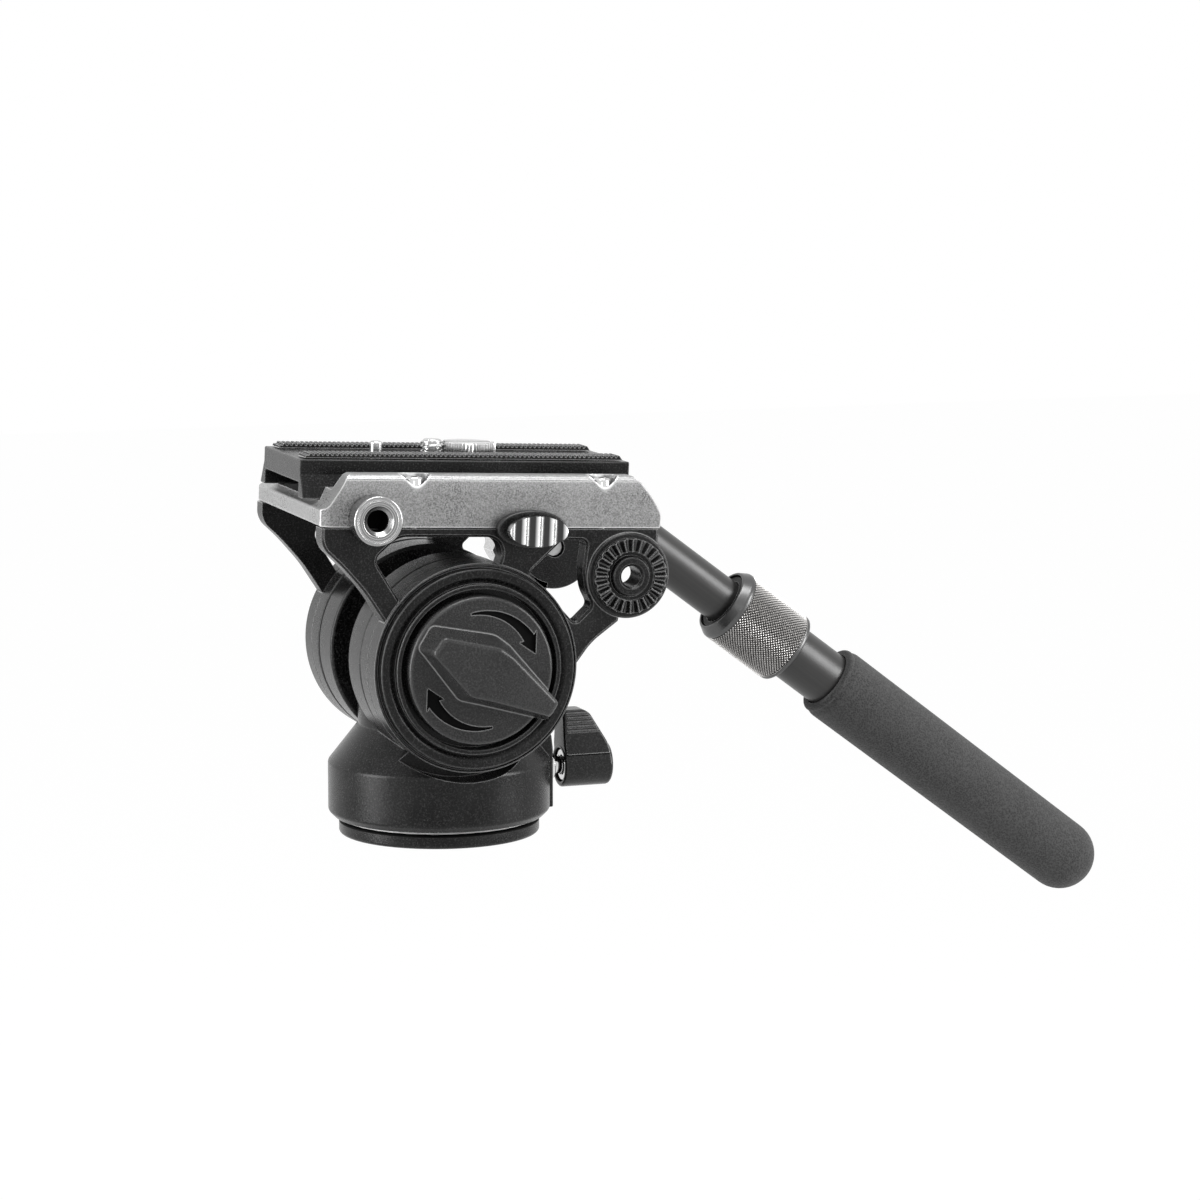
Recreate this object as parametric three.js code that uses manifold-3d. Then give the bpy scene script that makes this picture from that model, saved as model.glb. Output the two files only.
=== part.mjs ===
// Fluid head of a video tripod, in millimetres, +Z up.
// The origin is the centre of the base's underside, at the mouth of the tripod thread.
// -X is the front, +X the rear where the pan bar points, -Y the side with the tilt lock.
import * as THREE from 'three';
import { mergeVertices } from 'three/addons/utils/BufferGeometryUtils.js';
import Module from 'manifold-3d';

const wasm = await Module();
wasm.setup();

// Clearances and overruns
const seat = 0.3;
const running = 0.5;
const overrun = 2;
const edge = 0.6;

// Facets round a full turn
const facets = { large: 32, medium: 18, small: 12, tiny: 6 };
const hexSides = 6;
const cornerSteps = 4;
const ovalSteps = 5;

// Tripod and camera threads: 3/8 inch below, 1/4 inch above
const tripodThread = { radius: 4.76, crestDepth: 0.6, pitch: 1.59 };
const cameraThread = { radius: 3.17, crestDepth: 0.45, pitch: 1.27 };

// Fixed base
const base = { radius: 27.3, rim: 3.7, hubRadius: 22.4, hubHeight: 2.3, screwCircle: 15.2,
  screwCount: 3 };
const insert = { radius: 7.5, mouth: 0.4 };
const baseScrew = { headRadius: 2.7, headHeight: 1.6, radius: 1.5 };
const panAxle = { flangeRadius: 19.5, flange: 2.3, drumRadius: 9, drumTop: 19.3, radius: 7, top: 24,
  threadRadius: 5, threadTop: 30, boreRadius: 5.2, boreTop: 15 };
const panDisc = { radius: 21.4, thickness: 1.5 };
const thrustWasher = { inner: 23.8, outer: 26.6, thickness: 0.5 };
const panNut = { radius: 8.6, height: 3.6 };

// Panning housing
const body = { radius: 30.2, bottom: 4.8, bottomEdge: 1.6, shoulder: 19.7, coneTop: 29.5,
  coneTopRadius: 22.5, cavityRadius: 23.2, cavityTop: 14.5, upperCavityRadius: 18.6, boreRadius: 11.3,
  boreTop: 31, throatRadius: 8.6, throatTop: 38 };
const panBearing = { inner: 7.3, outer: 11, height: 4 };
const neck = { radius: 21.9, top: 38 };
const drum = { radius: 27.9, inner: 8.4, outer: 20.2, webRadius: 21.6, chamberRadius: 22.6,
  chamberFloor: 13.3, springRadius: 15, bevel: 0.8 };
const hubClearance = 4.3;

// Pan lock
const panLock = { height: 15.9, padProud: 0.5, padHalfWidth: 6.6, padBottom: 5.6, padTop: 26,
  padShoulder: 21.8, screwRadius: 2.4, collarRadius: 3.7, collarLength: 1.6, gap: 3.9, hubRadius: 6.1,
  hubLength: 14, wingHeight: 17, wingHalfWidth: 3.6, wingTopLength: 7.2, ribCount: 5, ribDepth: 0.5,
  ribWidth: 1, ribPitch: 1.9 };
const brakeShoe = { length: 6, halfWidth: 5, halfHeight: 2.9 };

// Tilt axis and cradle
const tiltAxisHeight = 49.7;
const restTilt = 2.52;
const tiltAxle = { radius: 4, nearEnd: 36, nutThreadRadius: 3.4 };
const tiltBearing = { outer: 8, width: 4 };
const carrier = { thickness: 2, hubRadius: 11.6, hubInner: 9 };
const rotor = { radius: 20.4, thickness: 1.5 };
const spring = { radius: 8, wire: 1, turns: 4, pitch: 3 };
const springFacets = { around: 5, perTurn: 10 };
const hub = { radius: 28, inner: 20.7, wallInner: 28, wallOuter: 31.4, cavityRadius: 22.5, stemBore: 7.8,
  shoulder: 33.8, faceRadius: 26.6, face: 35.7, rimOuter: 22.7, rimInner: 21.4, rim: 36.6 };
const brakePlate = { radius: 20.5, thickness: 2.5, hubRadius: 7.3 };
const axleNut = { radius: 6.6, height: 2.6 };
const hubCap = { proud: 0.6, thickness: 2.2 };

// Tilt lock knob: a disc with a wedge lever across it and two arrows
const tiltKnob = { radius: 19.75, face: 38.5, roundness: 0.9, stemRadius: 7.5, stemInner: 27.4,
  bladeTop: 47.4 };
const bladeRoot = { tailX: -17.9, tailZ: 6.2, sideX: 3.4, sideZ: 9.7, shoulderX: 7.5, shoulderZ: 6.8,
  tipX: 21.8, tipZ: -8.6, tipLowX: 19, tipLowZ: -13.5, lowX: -0.5, lowZ: -9, lowTailX: -6.2,
  lowTailZ: -7.8, tailTopX: -14.4, tailTopZ: 12.3 };
const bladeTopShare = 0.9;
const bladeTopNarrowShare = 0.74;
const arrow = { radius: 15.4, tailWidth: 0.5, width: 3.2, headWidth: 5.6, headTurn: 17, sweep: 69,
  depth: 0.7, firstTurn: 103, secondTurn: -77, steps: 10 };

// Side brackets, in the frame of the tilt axis
const bracket = { inner: 27.2, outer: 33, front: -43.2, rear: 50, corner: 2.4, chamfer: 1.4,
  strutFootX: -25, strutFootZ: 11.6, strutKneeX: -31.1, strutKneeZ: 20.2, strutBendX: -37.4,
  strutBendZ: 26.9, strutHeadZ: 32, rearFootX: 28, rearFootZ: 0.4, rearBendX: 32.4, rearBendZ: 6.6,
  rearHeelX: 39.6, rearHeelZ: 12.2 };
const frontWindow = { topLeftX: -22.3, topLeftZ: 34.7, leftX: -28.8, leftZ: 28.7, footX: -21.4,
  footZ: 17.8, rightX: 6.8, rightZ: 31, rightFootX: 4.4, rightFootZ: 24, topRightX: 4.3, corner: 2.2 };
const rearWindow = { hubX: 14, hubZ: 25.2, topX: 23.2, topZ: 34.1, topRightX: 29.8, topRightZ: 33.9,
  waistX: 29, waistZ: 25.4, lowX: 29.9, lowZ: 20.6, noseX: 32.2, noseZ: 16.4, footX: 27.4, footZ: 11.6,
  corner: 1.4 };
const rosette = { x: 41.8, z: 24.6, radius: 10, bossRadius: 11.6, face: 36, teeth: 24, toothDepth: 0.8,
  toothInner: 6.6, hubRadius: 5.2, bore: 2.75 };

// Platform housing, in the frame of the tilt axis
const platform = { bottom: 37.2, front: -43.4, rear: 50.5, halfWidth: 32.6, floor: 43, slopeFoot: 42.2,
  slopeFootX: -41.5, railFront: -35.9, railRear: 41.5, rearBendX: 48.7, rearBendZ: 44.4,
  rearFootX: 50.5, rearFootZ: 40.9, railTop: 51, railOuterShares: [[0, 0.38], [0.08, 0.18],
  [0.26, 0.06], [0.4, 0]], ridge: 28.4, railInner: 25.6, lipTop: 46.4, cornerLength: 2.3,
  cornerWidth: 1.7 };
const housingScrew = { frontX: -17.7, rearX: 34.5, y: 29.2, notchRadius: 4, seatZ: 46.8, headRadius: 3.5,
  headHeight: 2.3, radius: 1.5, tip: 35.1, socketRadius: 1.5, socketDepth: 1.3 };
const accessory = { x: -29.5, z: 39.4, radius: 6.6, face: 38.4, stemRadius: 4.8, stemInner: 28.6,
  boreRadius: 2.9, mouthRadius: 3.9, mouthDepth: 1, bevel: 0.5 };

// Release button and its latch
const button = { x: 13.5, z: 37.1, halfLength: 8.1, halfHeight: 4, face: 41.6, bezelHalfLength: 9.7,
  bezelHalfHeight: 5, bezelFace: 36, stemHalfLength: 6.4, stemHalfHeight: 2.6, stemInner: 25.4,
  ribPitch: 3.83, ribCount: 4, ribWidth: 1.2, ribDepth: 0.8, armHalfWidth: 3, armHeight: 2.6,
  armInner: 9, latchRadius: 1.4, latchRise: 1.6, travel: 2.2 };

// Plate clamp on the far rail
const jaw = { halfLength: 26, travel: 0.9 };
const lockScrew = { x: -6, radius: 2.2 };
const lockLever = { hubRadius: 6, width: 7, armLength: 21, armHeight: 6.4, armThickness: 4.4,
  tipRadius: 3.2, ribCount: 4, ribPitch: 2.6, ribDepth: 0.6, ribWidth: 1.1 };

// Sliding camera plate
const plate = { front: -45.6, rear: 46.4, bottomHalf: 21.3, topHalf: 17.9, top: 53.4, slantTop: 49.3,
  slab: 47.3, recessHalf: 17, cupRadius: 4.4, cupFloor: 0.9, stopRadius: 1.5, travel: 20 };
const strip = { front: -43.8, rear: 44.8, inner: 9.7, outer: 16.6, thickness: 1.2 };
const cameraScrew = { x: -3.9, headRadius: 6.9, headHeight: 2.4, rise: 5.4, slotWidth: 1.2,
  slotDepth: 0.9 };
const videoPin = { x: -19.6, radius: 1.75, rise: 3.4, flangeRadius: 2.8, flange: 1, cover: 1.8 };
const pinSpring = { wire: 0.35, turns: 3, perTurn: 10 };
const spareScrew = { x: 6.5, headRadius: 7.2, headHeight: 2.6, knurls: 30, knurlDepth: 0.35,
  slotWidth: 1.3, slotDepth: 0.9, headGap: 0.3 };

// Pan bar: stations run along the bar from the point beside the clamp bolt
const bar = { drop: 34.4, offset: 18.2, sleeveRadius: 8.3, sleeveStart: -7, sleeveEnd: 20,
  tubeRadius: 6.65, boreStart: -4.5, tubeWall: 1.1, travel: 70, engagement: 12 };
const clamp = { radius: 10.2, thickness: 13.2, webHalfWidth: 7.6, boltRadius: 2.45, boltInner: 28.4,
  boltBore: 2.8 };
const clampKnob = { radius: 11, length: 9, neckRadius: 5.4, neckLength: 2.4, lobes: 8, lobeRadius: 2.2,
  bevel: 1.2 };
const setScrew = { station: 8, radius: 1.9 };
const collar = { start: 57.4, end: 82.7, radius: 11.05, bevel: 1.3, mouthRadius: 8.9, mouthDepth: 1.6 };
const collet = { wall: 1, slotWidth: 1.1, slots: 4, length: 14 };
const outerTube = { radius: 8.18, boreRadius: 7.05, end: 193.5 };
const grip = { start: 98.9, radius: 10.95, domeRadius: 10.5, domeStation: 194.6, endBevel: 1.2,
  domeSteps: 4 };
const barPlug = { length: 7, flange: 1.4 };

// Materials
function finish(color, roughness, metalness) {
  return new THREE.MeshStandardMaterial({ color, roughness, metalness });
}
const finishes = {
  blackCast: finish(0x202124, 0.62, 0.4),
  silverCast: finish(0x8d9093, 0.48, 0.75),
  knobPlastic: finish(0x34373b, 0.6, 0.1),
  blackPlastic: finish(0x1b1c1e, 0.55, 0.05),
  silver: finish(0xb9bcc0, 0.3, 0.9),
  steel: finish(0x9fa3a8, 0.35, 0.9),
  chrome: finish(0xdfe1e4, 0.12, 1),
  brass: finish(0xb38f4d, 0.35, 0.9),
  gunmetal: finish(0x3b3c3b, 0.3, 0.85),
  titanium: finish(0x6d6f70, 0.45, 0.8),
  foam: finish(0x303234, 0.95, 0),
  rubber: finish(0x161617, 0.85, 0),
  slip: finish(0xe6e4dc, 0.5, 0),
};

// Solids from plain geometries, and back
function solidOf(geometry) {
  const bare = geometry.clone();
  bare.deleteAttribute('normal');
  bare.deleteAttribute('uv');
  const merged = mergeVertices(bare);
  const corners = merged.index.array;
  const kept = [];
  for (let i = 0; i < corners.length; i += 3) {
    const [a, b, c] = [corners[i], corners[i + 1], corners[i + 2]];
    if (a !== b && b !== c && c !== a) kept.push(a, b, c);
  }
  const vertProperties = new Float32Array(merged.attributes.position.array);
  return new wasm.Manifold(new wasm.Mesh({ numProp: 3, vertProperties,
    triVerts: new Uint32Array(kept) }));
}

function geometryOf(solid) {
  const mesh = solid.getMesh();
  const geometry = new THREE.BufferGeometry();
  geometry.setAttribute('position', new THREE.BufferAttribute(new Float32Array(mesh.vertProperties), 3));
  geometry.setIndex(new THREE.BufferAttribute(new Uint32Array(mesh.triVerts), 1));
  geometry.computeVertexNormals();
  return geometry;
}

function join(solids) {
  return solids.reduce((whole, next) => whole.add(next));
}

function cut(solid, tools) {
  return tools.reduce((whole, tool) => whole.subtract(tool), solid);
}

function addPiece(group, name, solid, material) {
  const mesh = new THREE.Mesh(geometryOf(solid), material);
  mesh.name = name;
  group.add(mesh);
  return mesh;
}

// Keeps only what lies between two stations along y
function trimmed(solid, low, high, reach) {
  return solid.intersect(block([-reach, reach], [Math.min(low, high), Math.max(low, high)],
    [-reach, reach]));
}

// A profile of [radius, station] points, turned about the x, y or z axis
function turned(axis, profile, count, place = [0, 0, 0]) {
  let area = 0;
  profile.forEach(([r, h], i) => {
    const [nextR, nextH] = profile[(i + 1) % profile.length];
    area += r * nextH - nextR * h;
  });
  const ordered = area > 0 ? [...profile] : [...profile].reverse();
  const onAxis = ordered.map(([r]) => r === 0);
  while (onAxis.some(Boolean) && !(ordered[0][0] === 0 && ordered.at(-1)[0] === 0)) {
    ordered.push(ordered.shift());
  }
  if (!onAxis.some(Boolean)) ordered.push(ordered[0]);
  const geometry = new THREE.LatheGeometry(ordered.map(([r, h]) => new THREE.Vector2(r, h)), count);
  if (axis === 'x') geometry.rotateZ(-Math.PI / 2);
  if (axis === 'z') geometry.rotateX(Math.PI / 2);
  geometry.translate(...place);
  return solidOf(geometry);
}

function rod(axis, radius, from, to, count, place) {
  return turned(axis, [[0, from], [radius, from], [radius, to], [0, to]], count, place);
}

function ring(axis, inner, outer, from, to, count, place) {
  return turned(axis, [[inner, from], [outer, from], [outer, to], [inner, to]], count, place);
}

// A rod with bevelled ends
function softRod(axis, radius, from, to, bevel, count, place) {
  const step = bevel * Math.sign(to - from);
  return turned(axis, [[0, from], [radius - bevel, from], [radius, from + step], [radius, to - step],
    [radius - bevel, to], [0, to]], count, place);
}

// A threaded rod, drawn as rings of the thread's pitch
function threadedRod(axis, thread, from, to, count, place) {
  const turnCount = Math.max(1, Math.round((to - from) / thread.pitch));
  const pitch = (to - from) / turnCount;
  const profile = [[0, from]];
  for (let i = 0; i < turnCount; i += 1) {
    profile.push([thread.radius - thread.crestDepth, from + i * pitch]);
    profile.push([thread.radius, from + (i + 0.5) * pitch]);
  }
  profile.push([thread.radius - thread.crestDepth, to], [0, to]);
  return turned(axis, profile, count, place);
}

function block(x, y, z) {
  const geometry = new THREE.BoxGeometry(x[1] - x[0], y[1] - y[0], z[1] - z[0]);
  geometry.translate((x[0] + x[1]) / 2, (y[0] + y[1]) / 2, (z[0] + z[1]) / 2);
  return solidOf(geometry);
}

// An outline of [x, z, corner radius] points in the XZ plane
function outlineOf(points) {
  const shape = new THREE.Shape();
  points.forEach(([x, z, radius = 0], i) => {
    const corner = new THREE.Vector2(x, z);
    const before = points[(i + points.length - 1) % points.length];
    const after = points[(i + 1) % points.length];
    const back = new THREE.Vector2(before[0], before[1]).sub(corner);
    const ahead = new THREE.Vector2(after[0], after[1]).sub(corner);
    const reach = Math.min(radius, back.length() / 2, ahead.length() / 2);
    const start = corner.clone().add(back.normalize().multiplyScalar(reach));
    const end = corner.clone().add(ahead.normalize().multiplyScalar(reach));
    if (i === 0) shape.moveTo(start.x, start.y);
    else shape.lineTo(start.x, start.y);
    if (reach > 0) shape.quadraticCurveTo(corner.x, corner.y, end.x, end.y);
  });
  shape.closePath();
  return shape;
}

// An outline extruded along y between two stations
function slab(shape, low, high, curveSegments = cornerSteps) {
  const [from, to] = [Math.min(low, high), Math.max(low, high)];
  const geometry = new THREE.ExtrudeGeometry(shape, { depth: to - from, bevelEnabled: false,
    curveSegments });
  geometry.rotateX(Math.PI / 2);
  geometry.translate(0, to, 0);
  return solidOf(geometry);
}

// An outline in the YZ plane extruded along x
function beam(points, front, rear) {
  const shape = new THREE.Shape(points.map(([y, z]) => new THREE.Vector2(y, z)));
  const geometry = new THREE.ExtrudeGeometry(shape, { depth: rear - front, bevelEnabled: false });
  geometry.rotateX(Math.PI / 2);
  geometry.rotateZ(Math.PI / 2);
  geometry.translate(front, 0, 0);
  return solidOf(geometry);
}

// An oval with blunt ends
const noseShare = 0.5;

function ovalOutline(x, z, halfLength, halfHeight) {
  const shape = new THREE.Shape();
  shape.moveTo(x - halfLength, z);
  shape.bezierCurveTo(x - halfLength, z + halfHeight * noseShare, x - halfLength * noseShare,
    z + halfHeight, x, z + halfHeight);
  shape.bezierCurveTo(x + halfLength * noseShare, z + halfHeight, x + halfLength,
    z + halfHeight * noseShare, x + halfLength, z);
  shape.bezierCurveTo(x + halfLength, z - halfHeight * noseShare, x + halfLength * noseShare,
    z - halfHeight, x, z - halfHeight);
  shape.bezierCurveTo(x - halfLength * noseShare, z - halfHeight, x - halfLength,
    z - halfHeight * noseShare, x - halfLength, z);
  return shape;
}

function hexagonPoints(radius, x, z) {
  return Array.from({ length: hexSides }, (_, i) => {
    const turn = (i * 2 * Math.PI) / hexSides;
    return [x + radius * Math.cos(turn), z + radius * Math.sin(turn)];
  });
}

// A coil of round wire about the y axis, with straight legs that reach outward at both ends
function coil(form, start, leg, around, perTurn) {
  class Helix extends THREE.Curve {
    getPoint(t, target = new THREE.Vector3()) {
      const turn = t * form.turns * 2 * Math.PI;
      return target.set(form.radius * Math.cos(turn), start + t * form.turns * form.pitch,
        form.radius * Math.sin(turn));
    }
  }
  const section = new THREE.Shape(Array.from({ length: around }, (_, i) => {
    const turn = (i * 2 * Math.PI) / around;
    return new THREE.Vector2(form.wire * Math.cos(turn), form.wire * Math.sin(turn));
  }));
  const path = new Helix();
  const wire = solidOf(new THREE.ExtrudeGeometry(section, { steps: form.turns * perTurn,
    extrudePath: path }));
  const end = start + form.turns * form.pitch;
  const legs = [start, end].map((y) =>
    rod('x', form.wire, form.radius - form.wire, form.radius + leg, around, [0, y, 0]));
  return join([wire, ...legs]);
}

const head = new THREE.Group();

// Fixed base: plate, thread insert, screws, axle and its discs
const baseTop = base.rim + base.hubHeight;
const flangeBottom = baseTop + seat;
const flangeTop = flangeBottom + panAxle.flange;
const discBottom = flangeTop + seat;
const nutBottom = panAxle.top + seat;

function screwPlaces() {
  return Array.from({ length: base.screwCount }, (_, i) => {
    const turn = (i * 2 * Math.PI) / base.screwCount;
    return [base.screwCircle * Math.cos(turn), base.screwCircle * Math.sin(turn), 0];
  });
}

function buildBase() {
  const group = new THREE.Group();
  const insertBore = insert.radius + seat;
  const disc = turned('z', [[insertBore, 0], [base.radius - edge, 0], [base.radius, edge],
    [base.radius, base.rim], [base.hubRadius, base.rim], [base.hubRadius, baseTop],
    [insertBore, baseTop]], facets.large);
  const screwHoles = screwPlaces().flatMap((place) => [
    rod('z', baseScrew.radius + seat, -overrun, baseTop + overrun, facets.tiny, place),
    rod('z', baseScrew.headRadius + seat, -overrun, baseScrew.headHeight + seat, facets.tiny, place),
  ]);
  addPiece(group, 'base_plate', cut(disc, screwHoles), finishes.blackCast);

  const bushing = rod('z', insert.radius, insert.mouth, baseTop, facets.medium);
  const threadBore = threadedRod('z', tripodThread, insert.mouth - tripodThread.pitch,
    baseTop + tripodThread.pitch, facets.medium);
  addPiece(group, 'tripod_thread_insert', bushing.subtract(threadBore), finishes.brass);

  screwPlaces().forEach((place, i) => {
    const screw = join([
      rod('z', baseScrew.headRadius, seat, baseScrew.headHeight, facets.tiny, place),
      rod('z', baseScrew.radius, seat, flangeTop - edge, facets.tiny, place),
    ]);
    addPiece(group, `base_screw_${i + 1}`, screw, finishes.steel);
  });

  const axle = turned('z', [[panAxle.boreRadius, flangeBottom], [panAxle.flangeRadius, flangeBottom],
    [panAxle.flangeRadius, flangeTop], [panAxle.drumRadius, flangeTop],
    [panAxle.drumRadius, panAxle.drumTop], [panAxle.radius, panAxle.drumTop],
    [panAxle.radius, panAxle.top], [panAxle.threadRadius, panAxle.top],
    [panAxle.threadRadius, panAxle.threadTop], [0, panAxle.threadTop], [0, panAxle.boreTop],
    [panAxle.boreRadius, panAxle.boreTop]], facets.medium);
  const tappedHoles = screwPlaces().map((place) =>
    rod('z', baseScrew.radius + seat, flangeBottom - overrun, flangeTop - edge + seat, facets.tiny,
      place));
  addPiece(group, 'pan_axle', cut(axle, tappedHoles), finishes.steel);

  addPiece(group, 'pan_drag_disc', ring('z', panAxle.drumRadius + seat, panDisc.radius, discBottom,
    discBottom + panDisc.thickness, facets.medium), finishes.steel);
  addPiece(group, 'pan_thrust_washer', ring('z', thrustWasher.inner, thrustWasher.outer, base.rim + seat,
    base.rim + seat + thrustWasher.thickness, facets.large), finishes.slip);

  const nut = solidOf(new THREE.CylinderGeometry(panNut.radius, panNut.radius, panNut.height, hexSides)
    .rotateX(Math.PI / 2).translate(0, 0, nutBottom + panNut.height / 2));
  addPiece(group, 'pan_axle_nut', nut.subtract(rod('z', panAxle.threadRadius + seat, nutBottom - overrun,
    nutBottom + panNut.height + overrun, facets.small)), finishes.steel);
  return group;
}

// Panning housing: round body, neck and two drums on one casting
const lockBore = panLock.screwRadius + seat;
const padReach = body.radius + panLock.padProud;

function panHousing() {
  const shell = turned('z', [[0, body.bottom], [body.radius - body.bottomEdge, body.bottom],
    [body.radius, body.bottom + body.bottomEdge], [body.radius, body.shoulder],
    [body.coneTopRadius, body.coneTop], [neck.radius, body.coneTop + edge], [neck.radius, neck.top],
    [0, neck.top]],
  facets.large);
  const axis = [0, 0, tiltAxisHeight];
  const web = rod('y', drum.webRadius, -drum.inner - edge, drum.inner + edge, facets.large, axis);
  const drums = [-1, 1].map((side) => softRod('y', drum.radius, side * drum.inner, side * drum.outer,
    drum.bevel, facets.large, axis));
  const pad = slab(outlineOf([[body.cavityRadius, panLock.padBottom],
    [padReach, panLock.padBottom, edge], [padReach, panLock.padShoulder, edge],
    [body.radius, panLock.padTop, edge], [body.coneTopRadius, panLock.padShoulder]]),
    -panLock.padHalfWidth, panLock.padHalfWidth);
  const whole = join([shell, web, ...drums, pad]);

  const hubRooms = [-1, 1].map((side) => rod('y', hub.radius + hubClearance,
    side * (drum.outer + edge / 2), side * (body.radius + overrun), facets.large, axis));
  const chambers = [-1, 1].map((side) => rod('y', drum.chamberRadius, side * drum.chamberFloor,
    side * (drum.outer + overrun), facets.large, axis));
  const springRoom = rod('y', drum.springRadius, -drum.outer, drum.outer, facets.medium, axis);
  const cavity = turned('z', [[0, body.bottom - overrun], [body.cavityRadius, body.bottom - overrun],
    [body.cavityRadius, body.cavityTop], [body.upperCavityRadius, body.cavityTop],
    [body.upperCavityRadius, panAxle.drumTop], [body.boreRadius, panAxle.drumTop],
    [body.boreRadius, body.boreTop], [body.throatRadius, body.boreTop],
    [body.throatRadius, body.throatTop], [0, body.throatTop]], facets.medium);
  const screwBore = rod('x', lockBore, panAxle.drumRadius, padReach + overrun, facets.small,
    [0, 0, panLock.height]);
  return cut(whole, [...hubRooms, ...chambers, springRoom, cavity, screwBore]);
}

// Pan lock: screw, brake shoe inside, and a knob with a ribbed wing
const knobStart = padReach + panLock.gap;
const shoeStart = panAxle.drumRadius + seat;
const shoeEnd = shoeStart + brakeShoe.length;

function panLockPieces(panGroup) {
  const place = [0, 0, panLock.height];
  const shoe = block([shoeStart, shoeEnd], [-brakeShoe.halfWidth, brakeShoe.halfWidth],
    [panLock.height - brakeShoe.halfHeight, panLock.height + brakeShoe.halfHeight]);
  const drumCurve = rod('z', panAxle.drumRadius + seat, 0, panAxle.threadTop, facets.medium);
  addPiece(panGroup, 'pan_brake_shoe', shoe.subtract(drumCurve), finishes.brass);

  const screwEnd = knobStart + panLock.hubLength / 2;
  const screw = join([
    rod('x', panLock.screwRadius, shoeEnd + seat, screwEnd, facets.small, place),
    softRod('x', panLock.collarRadius, padReach + seat,
    padReach + seat + panLock.collarLength, edge / 2, facets.small, place),
  ]);
  addPiece(panGroup, 'pan_lock_screw', screw, finishes.chrome);

  const hubEnd = knobStart + panLock.hubLength;
  const knobHub = softRod('x', panLock.hubRadius, knobStart, hubEnd, edge, facets.small, place);
  const wingTop = panLock.height + panLock.wingHeight;
  const wingLow = panLock.height - panLock.hubRadius / 2;
  const wingShoulder = panLock.height + panLock.hubRadius / 2;
  const wing = slab(outlineOf([[knobStart, wingLow], [hubEnd, wingLow],
    [hubEnd, wingShoulder, panLock.hubRadius],
    [knobStart + panLock.wingTopLength, wingTop, edge], [knobStart, wingTop, edge]]),
  -panLock.wingHalfWidth, panLock.wingHalfWidth);
  const ribs = Array.from({ length: panLock.ribCount }, (_, i) => {
    const z = wingTop - panLock.ribPitch * (i + 1);
    return block([knobStart + edge, knobStart + panLock.wingTopLength],
      [-panLock.wingHalfWidth - panLock.ribDepth, panLock.wingHalfWidth + panLock.ribDepth],
      [z, z + panLock.ribWidth]);
  });
  const bore = rod('x', lockBore, knobStart - overrun, screwEnd + seat, facets.small, place);
  addPiece(panGroup, 'pan_lock_knob', cut(join([knobHub, wing, ...ribs]), [bore]), finishes.blackPlastic);
}

function tiltDragPieces(panGroup) {
  const axis = [0, 0, tiltAxisHeight];
  const names = { '-1': 'near', 1: 'far' };
  for (const side of [-1, 1]) {
    const carrierIn = drum.chamberFloor + seat;
    const carrierOut = carrierIn + carrier.thickness;
    const discRadius = drum.chamberRadius - seat;
    const pocket = tiltBearing.outer + seat;
    const shape = turned('y', [[pocket, side * carrier.hubInner],
      [carrier.hubRadius, side * carrier.hubInner], [carrier.hubRadius, side * carrierIn],
      [discRadius, side * carrierIn], [discRadius, side * carrierOut], [pocket, side * carrierOut]],
      facets.medium, axis);
    addPiece(panGroup, `${names[side]}_bearing_carrier`, shape, finishes.steel);
    addPiece(panGroup, `${names[side]}_tilt_bearing`, ring('y', tiltAxle.radius + seat, tiltBearing.outer,
      side * (carrierOut - tiltBearing.width), side * carrierOut, facets.medium, axis), finishes.chrome);
  }
}

function buildPan() {
  const group = new THREE.Group();
  addPiece(group, 'pan_housing', panHousing(), finishes.blackCast);
  addPiece(group, 'pan_bearing', ring('z', panBearing.inner, panBearing.outer, panAxle.drumTop + seat,
    panAxle.drumTop + seat + panBearing.height, facets.medium), finishes.chrome);
  tiltDragPieces(group);
  const springStart = (-spring.turns * spring.pitch) / 2;
  const legReach = drum.springRadius - spring.radius - seat;
  const springMesh = addPiece(group, 'counterbalance_spring', coil(spring, springStart, legReach,
    springFacets.around, springFacets.perTurn), finishes.steel);
  springMesh.position.z = tiltAxisHeight;
  panLockPieces(group);
  return group;
}

// Side brackets: a web with two windows, a hub ring, and a rosette boss
function toothedRing(inner, outer, back, root, crest, place) {
  const steps = rosette.teeth * 2;
  const positions = [];
  const corner = (radius, i, y) => {
    const turn = (i * 2 * Math.PI) / steps;
    return [place[0] + radius * Math.cos(turn), y, place[2] + radius * Math.sin(turn)];
  };
  const quad = (a, b, c, d) => {
    const corners = crest > back ? [a, b, c, a, c, d] : [a, c, b, a, d, c];
    corners.forEach((point) => positions.push(...point));
  };
  for (let i = 0; i < steps; i += 1) {
    const [now, next] = i % 2 === 0 ? [crest, root] : [root, crest];
    quad(corner(inner, i, now), corner(inner, i + 1, next), corner(outer, i + 1, next),
      corner(outer, i, now));
    quad(corner(outer, i, back), corner(outer, i + 1, back), corner(inner, i + 1, back),
      corner(inner, i, back));
    quad(corner(outer, i, now), corner(outer, i + 1, next), corner(outer, i + 1, back),
      corner(outer, i, back));
    quad(corner(inner, i, back), corner(inner, i + 1, back), corner(inner, i + 1, next),
      corner(inner, i, now));
  }
  const geometry = new THREE.BufferGeometry();
  geometry.setAttribute('position', new THREE.Float32BufferAttribute(positions, 3));
  return solidOf(geometry);
}

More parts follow.
